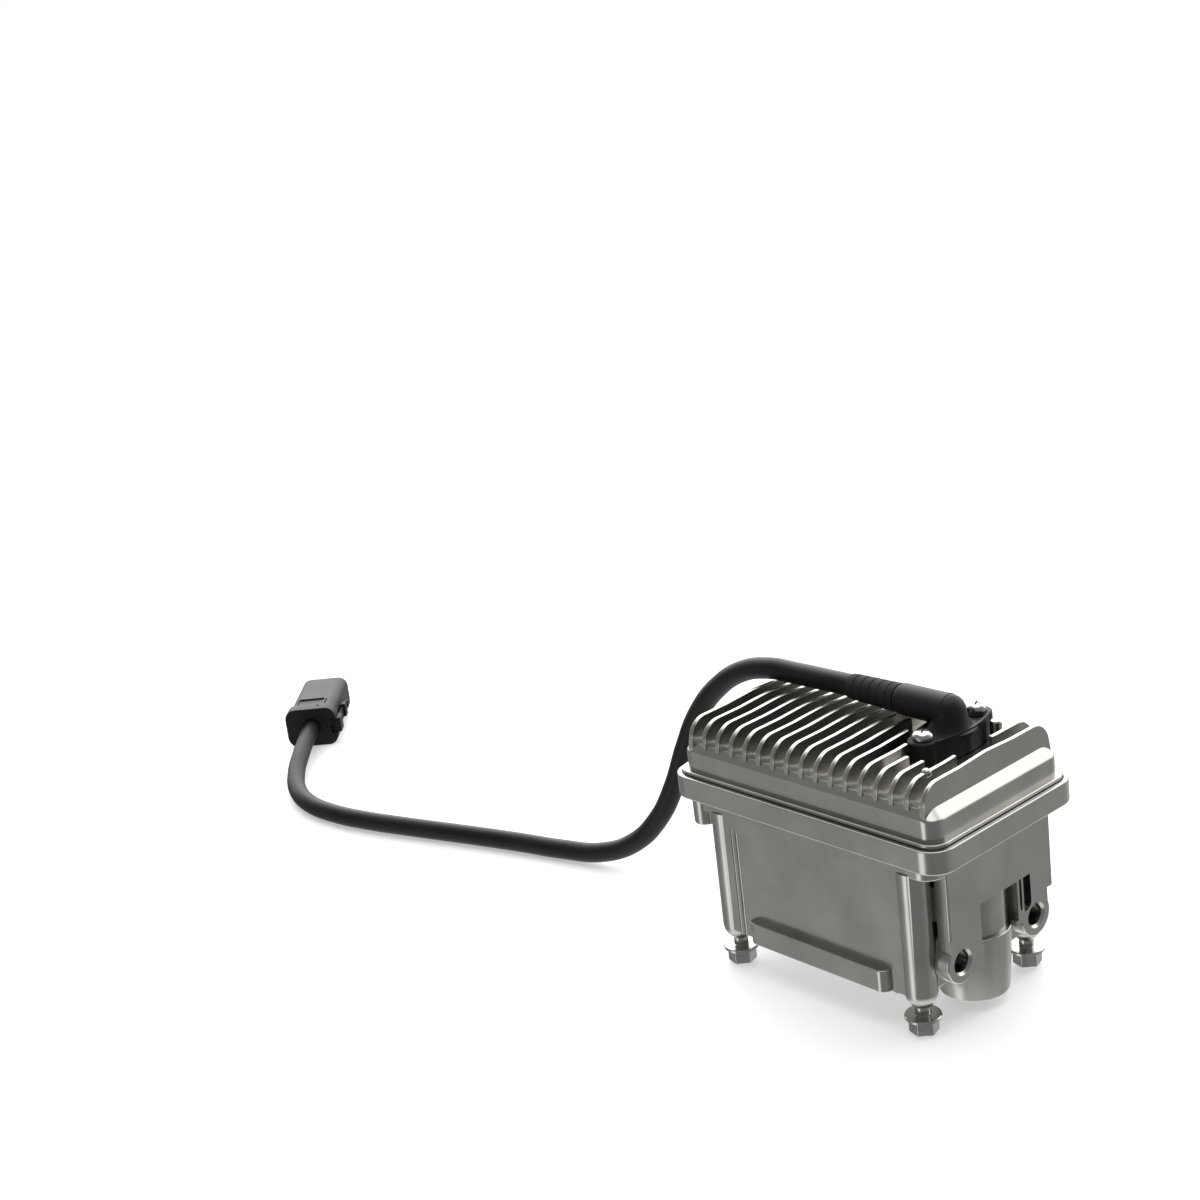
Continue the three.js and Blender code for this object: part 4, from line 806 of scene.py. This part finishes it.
# %% Finishes for the pieces that stay
kept_finishes = {
    "lid_seal": black_rubber, "gland_seal": black_rubber, "port_seal": black_rubber,
    "connector_face_seal": black_rubber, "connector_insert": grey_plastic,
    "port_insert": black_plastic, "vent_plug": black_plastic, "main_board": board_green,
    "control_board": board_green, "transformer_core_lower": ferrite_grey,
    "transformer_core_upper": ferrite_grey, "transformer_winding": winding_copper,
    "output_choke": winding_copper, "film_capacitor": film_block, "output_relay": grey_plastic,
    "input_terminal": grey_plastic, "thermal_pad": thermal_silicone,
}
for number in (1, 2, 3):
    kept_finishes[f"connector_contact_{number}"] = contact_metal
    kept_finishes[f"port_pin_{number}"] = contact_metal
    kept_finishes[f"bulk_capacitor_{number}"] = capacitor_sleeve
for number in (1, 2, 3, 4):
    kept_finishes[f"power_transistor_{number}"] = transistor_case
for corner in ("front_left", "front_right", "rear_left", "rear_right"):
    kept_finishes[f"board_screw_{corner}"] = bright_steel
for node, material in kept_finishes.items():
    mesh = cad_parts[node].data
    mesh.materials.clear()
    mesh.materials.append(material)
print(len(kept_finishes), "CAD nodes keep their shape")

# %% [markdown]
# ## The floor and the light
# The object stands on a plain pale floor in a bright room. Bare metal only shows what is
# around it, so the room is painted like a studio: plain grey walls give the flat faces their
# middle tone, one upright strip in front puts a line on every rounded corner, and broad soft
# boxes behind and above give the white edges. Lamps could do this too, but painting the room's
# directions keeps all of this light in one place.

# %% The floor
bpy.ops.object.select_all(action="DESELECT")
bpy.ops.mesh.primitive_plane_add(size=14, location=(0, 0, -0.0002))
floor = bpy.context.active_object
floor.name = "floor"
paper = finish("floor_paper", (0.55, 0.55, 0.55), (0.55, 0.55, 0.55), (0.9, 0.95), cloud=2,
               grain=300, relief=0.0)
paper_shader = paper.node_tree.nodes["Principled BSDF"]
paper_shader.inputs["Emission Color"].default_value = (1, 1, 1, 1)
paper_shader.inputs["Emission Strength"].default_value = 0.42
floor.data.materials.append(paper)
floor.visible_glossy = False
floor.visible_shadow = False

# %% The room's two bands
world = bpy.data.worlds.new("studio")
bpy.context.scene.world = world
world.use_nodes = True
nodes, links = world.node_tree.nodes, world.node_tree.links
room = nodes["Background"]
brightest = 6.0

direction = nodes.new("ShaderNodeTexCoord")
split = nodes.new("ShaderNodeSeparateXYZ")
links.new(direction.outputs["Generated"], split.inputs["Vector"])
around = nodes.new("ShaderNodeMath")
around.operation = "ARCTAN2"
links.new(split.outputs["Y"], around.inputs[0])
links.new(split.outputs["X"], around.inputs[1])
heading = nodes.new("ShaderNodeMapRange")
heading.inputs["From Min"].default_value = -math.pi
heading.inputs["From Max"].default_value = math.pi
links.new(around.outputs["Value"], heading.inputs["Value"])


def band(stops, source, low, high):
    """A ramp that gives the room's brightness at each stop, from low to high."""
    ramp = nodes.new("ShaderNodeValToRGB")
    elements = ramp.color_ramp.elements
    while len(elements) < len(stops):
        elements.new(0.5)
    for element, (place, light) in zip(elements, sorted(stops)):
        element.position = (place - low) / (high - low)
        element.color = (light / brightest, light / brightest, light / brightest, 1)
    links.new(source, ramp.inputs["Fac"])
    return ramp.outputs["Color"]


strip, front_wall = 1.7, 0.43
walls = band([(-180, 0.35), (-158, 0.27), (-145, 0.4), (-122, front_wall), (-114, strip),
              (-96, strip), (-88, 0.24), (0, 0.26), (24, 0.4), (60, 0.44), (100, 0.75),
              (140, 0.7), (156, 0.3), (180, 0.35)], heading.outputs["Result"], -180, 180)
boxes = band([(-180, 2.4), (-172, 1.6), (-162, 0.3), (-60, 0.3), (10, 0.3), (40, 0.5), (56, 2.6),
              (104, 2.6), (118, 4.2), (152, 5.0), (166, 3.0), (180, 2.4)],
             heading.outputs["Result"], -180, 180)
ground = 1.3
print("the front strip is", round(strip / front_wall, 1), "times as bright as the wall by it")

# %% Blend the bands by height
rise = nodes.new("ShaderNodeMapRange")
rise.inputs["From Min"].default_value = -1
links.new(split.outputs["Z"], rise.inputs["Value"])
height = band([(-1, 0), (-0.04, 0), (0.12, brightest), (1, brightest)], rise.outputs["Result"],
              -1, 1)
ceiling = band([(-1, 0), (0.84, 0), (0.93, brightest), (1, brightest)], rise.outputs["Result"],
               -1, 1)
low_down = band([(-1, brightest), (-0.78, brightest), (-0.6, 0), (1, 0)], rise.outputs["Result"],
                -1, 1)


def blend_light(amount, below, above):
    mix = nodes.new("ShaderNodeMix")
    mix.data_type = "RGBA"
    links.new(amount, mix.inputs[0])
    for value, socket in ((below, mix.inputs[6]), (above, mix.inputs[7])):
        if isinstance(value, float):
            socket.default_value = (value / brightest, value / brightest, value / brightest, 1)
        else:
            links.new(value, socket)
    return mix.outputs[2]


sides = blend_light(low_down, blend_light(height, walls, boxes), ground)
everything = blend_light(ceiling, sides, 2.4)
seen = nodes.new("ShaderNodeLightPath")
shown = blend_light(seen.outputs["Is Camera Ray"], everything, 1.0)
links.new(shown, room.inputs["Color"])
room.inputs["Strength"].default_value = brightest
bpy.context.scene.view_settings.view_transform = "Standard"

# %% [markdown]
# One large soft lamp above the object adds a little plain light for the black parts, which
# show hardly any reflections.

# %% The lamp
bpy.ops.object.select_all(action="DESELECT")
bpy.ops.object.light_add(type="AREA", location=(0.2, -0.4, 1.8))
soft_box = bpy.context.active_object
soft_box.name = "soft_box"
soft_box.data.shape = "DISK"
soft_box.data.size = 1.4
soft_box.data.energy = 7
soft_box.rotation_euler = (Vector((0, 0, 0)) - soft_box.location).to_track_quat(
    "-Z", "Y").to_euler()
soft_box.visible_camera = False
soft_box.visible_glossy = False
print("lamp", soft_box.data.energy, "W")
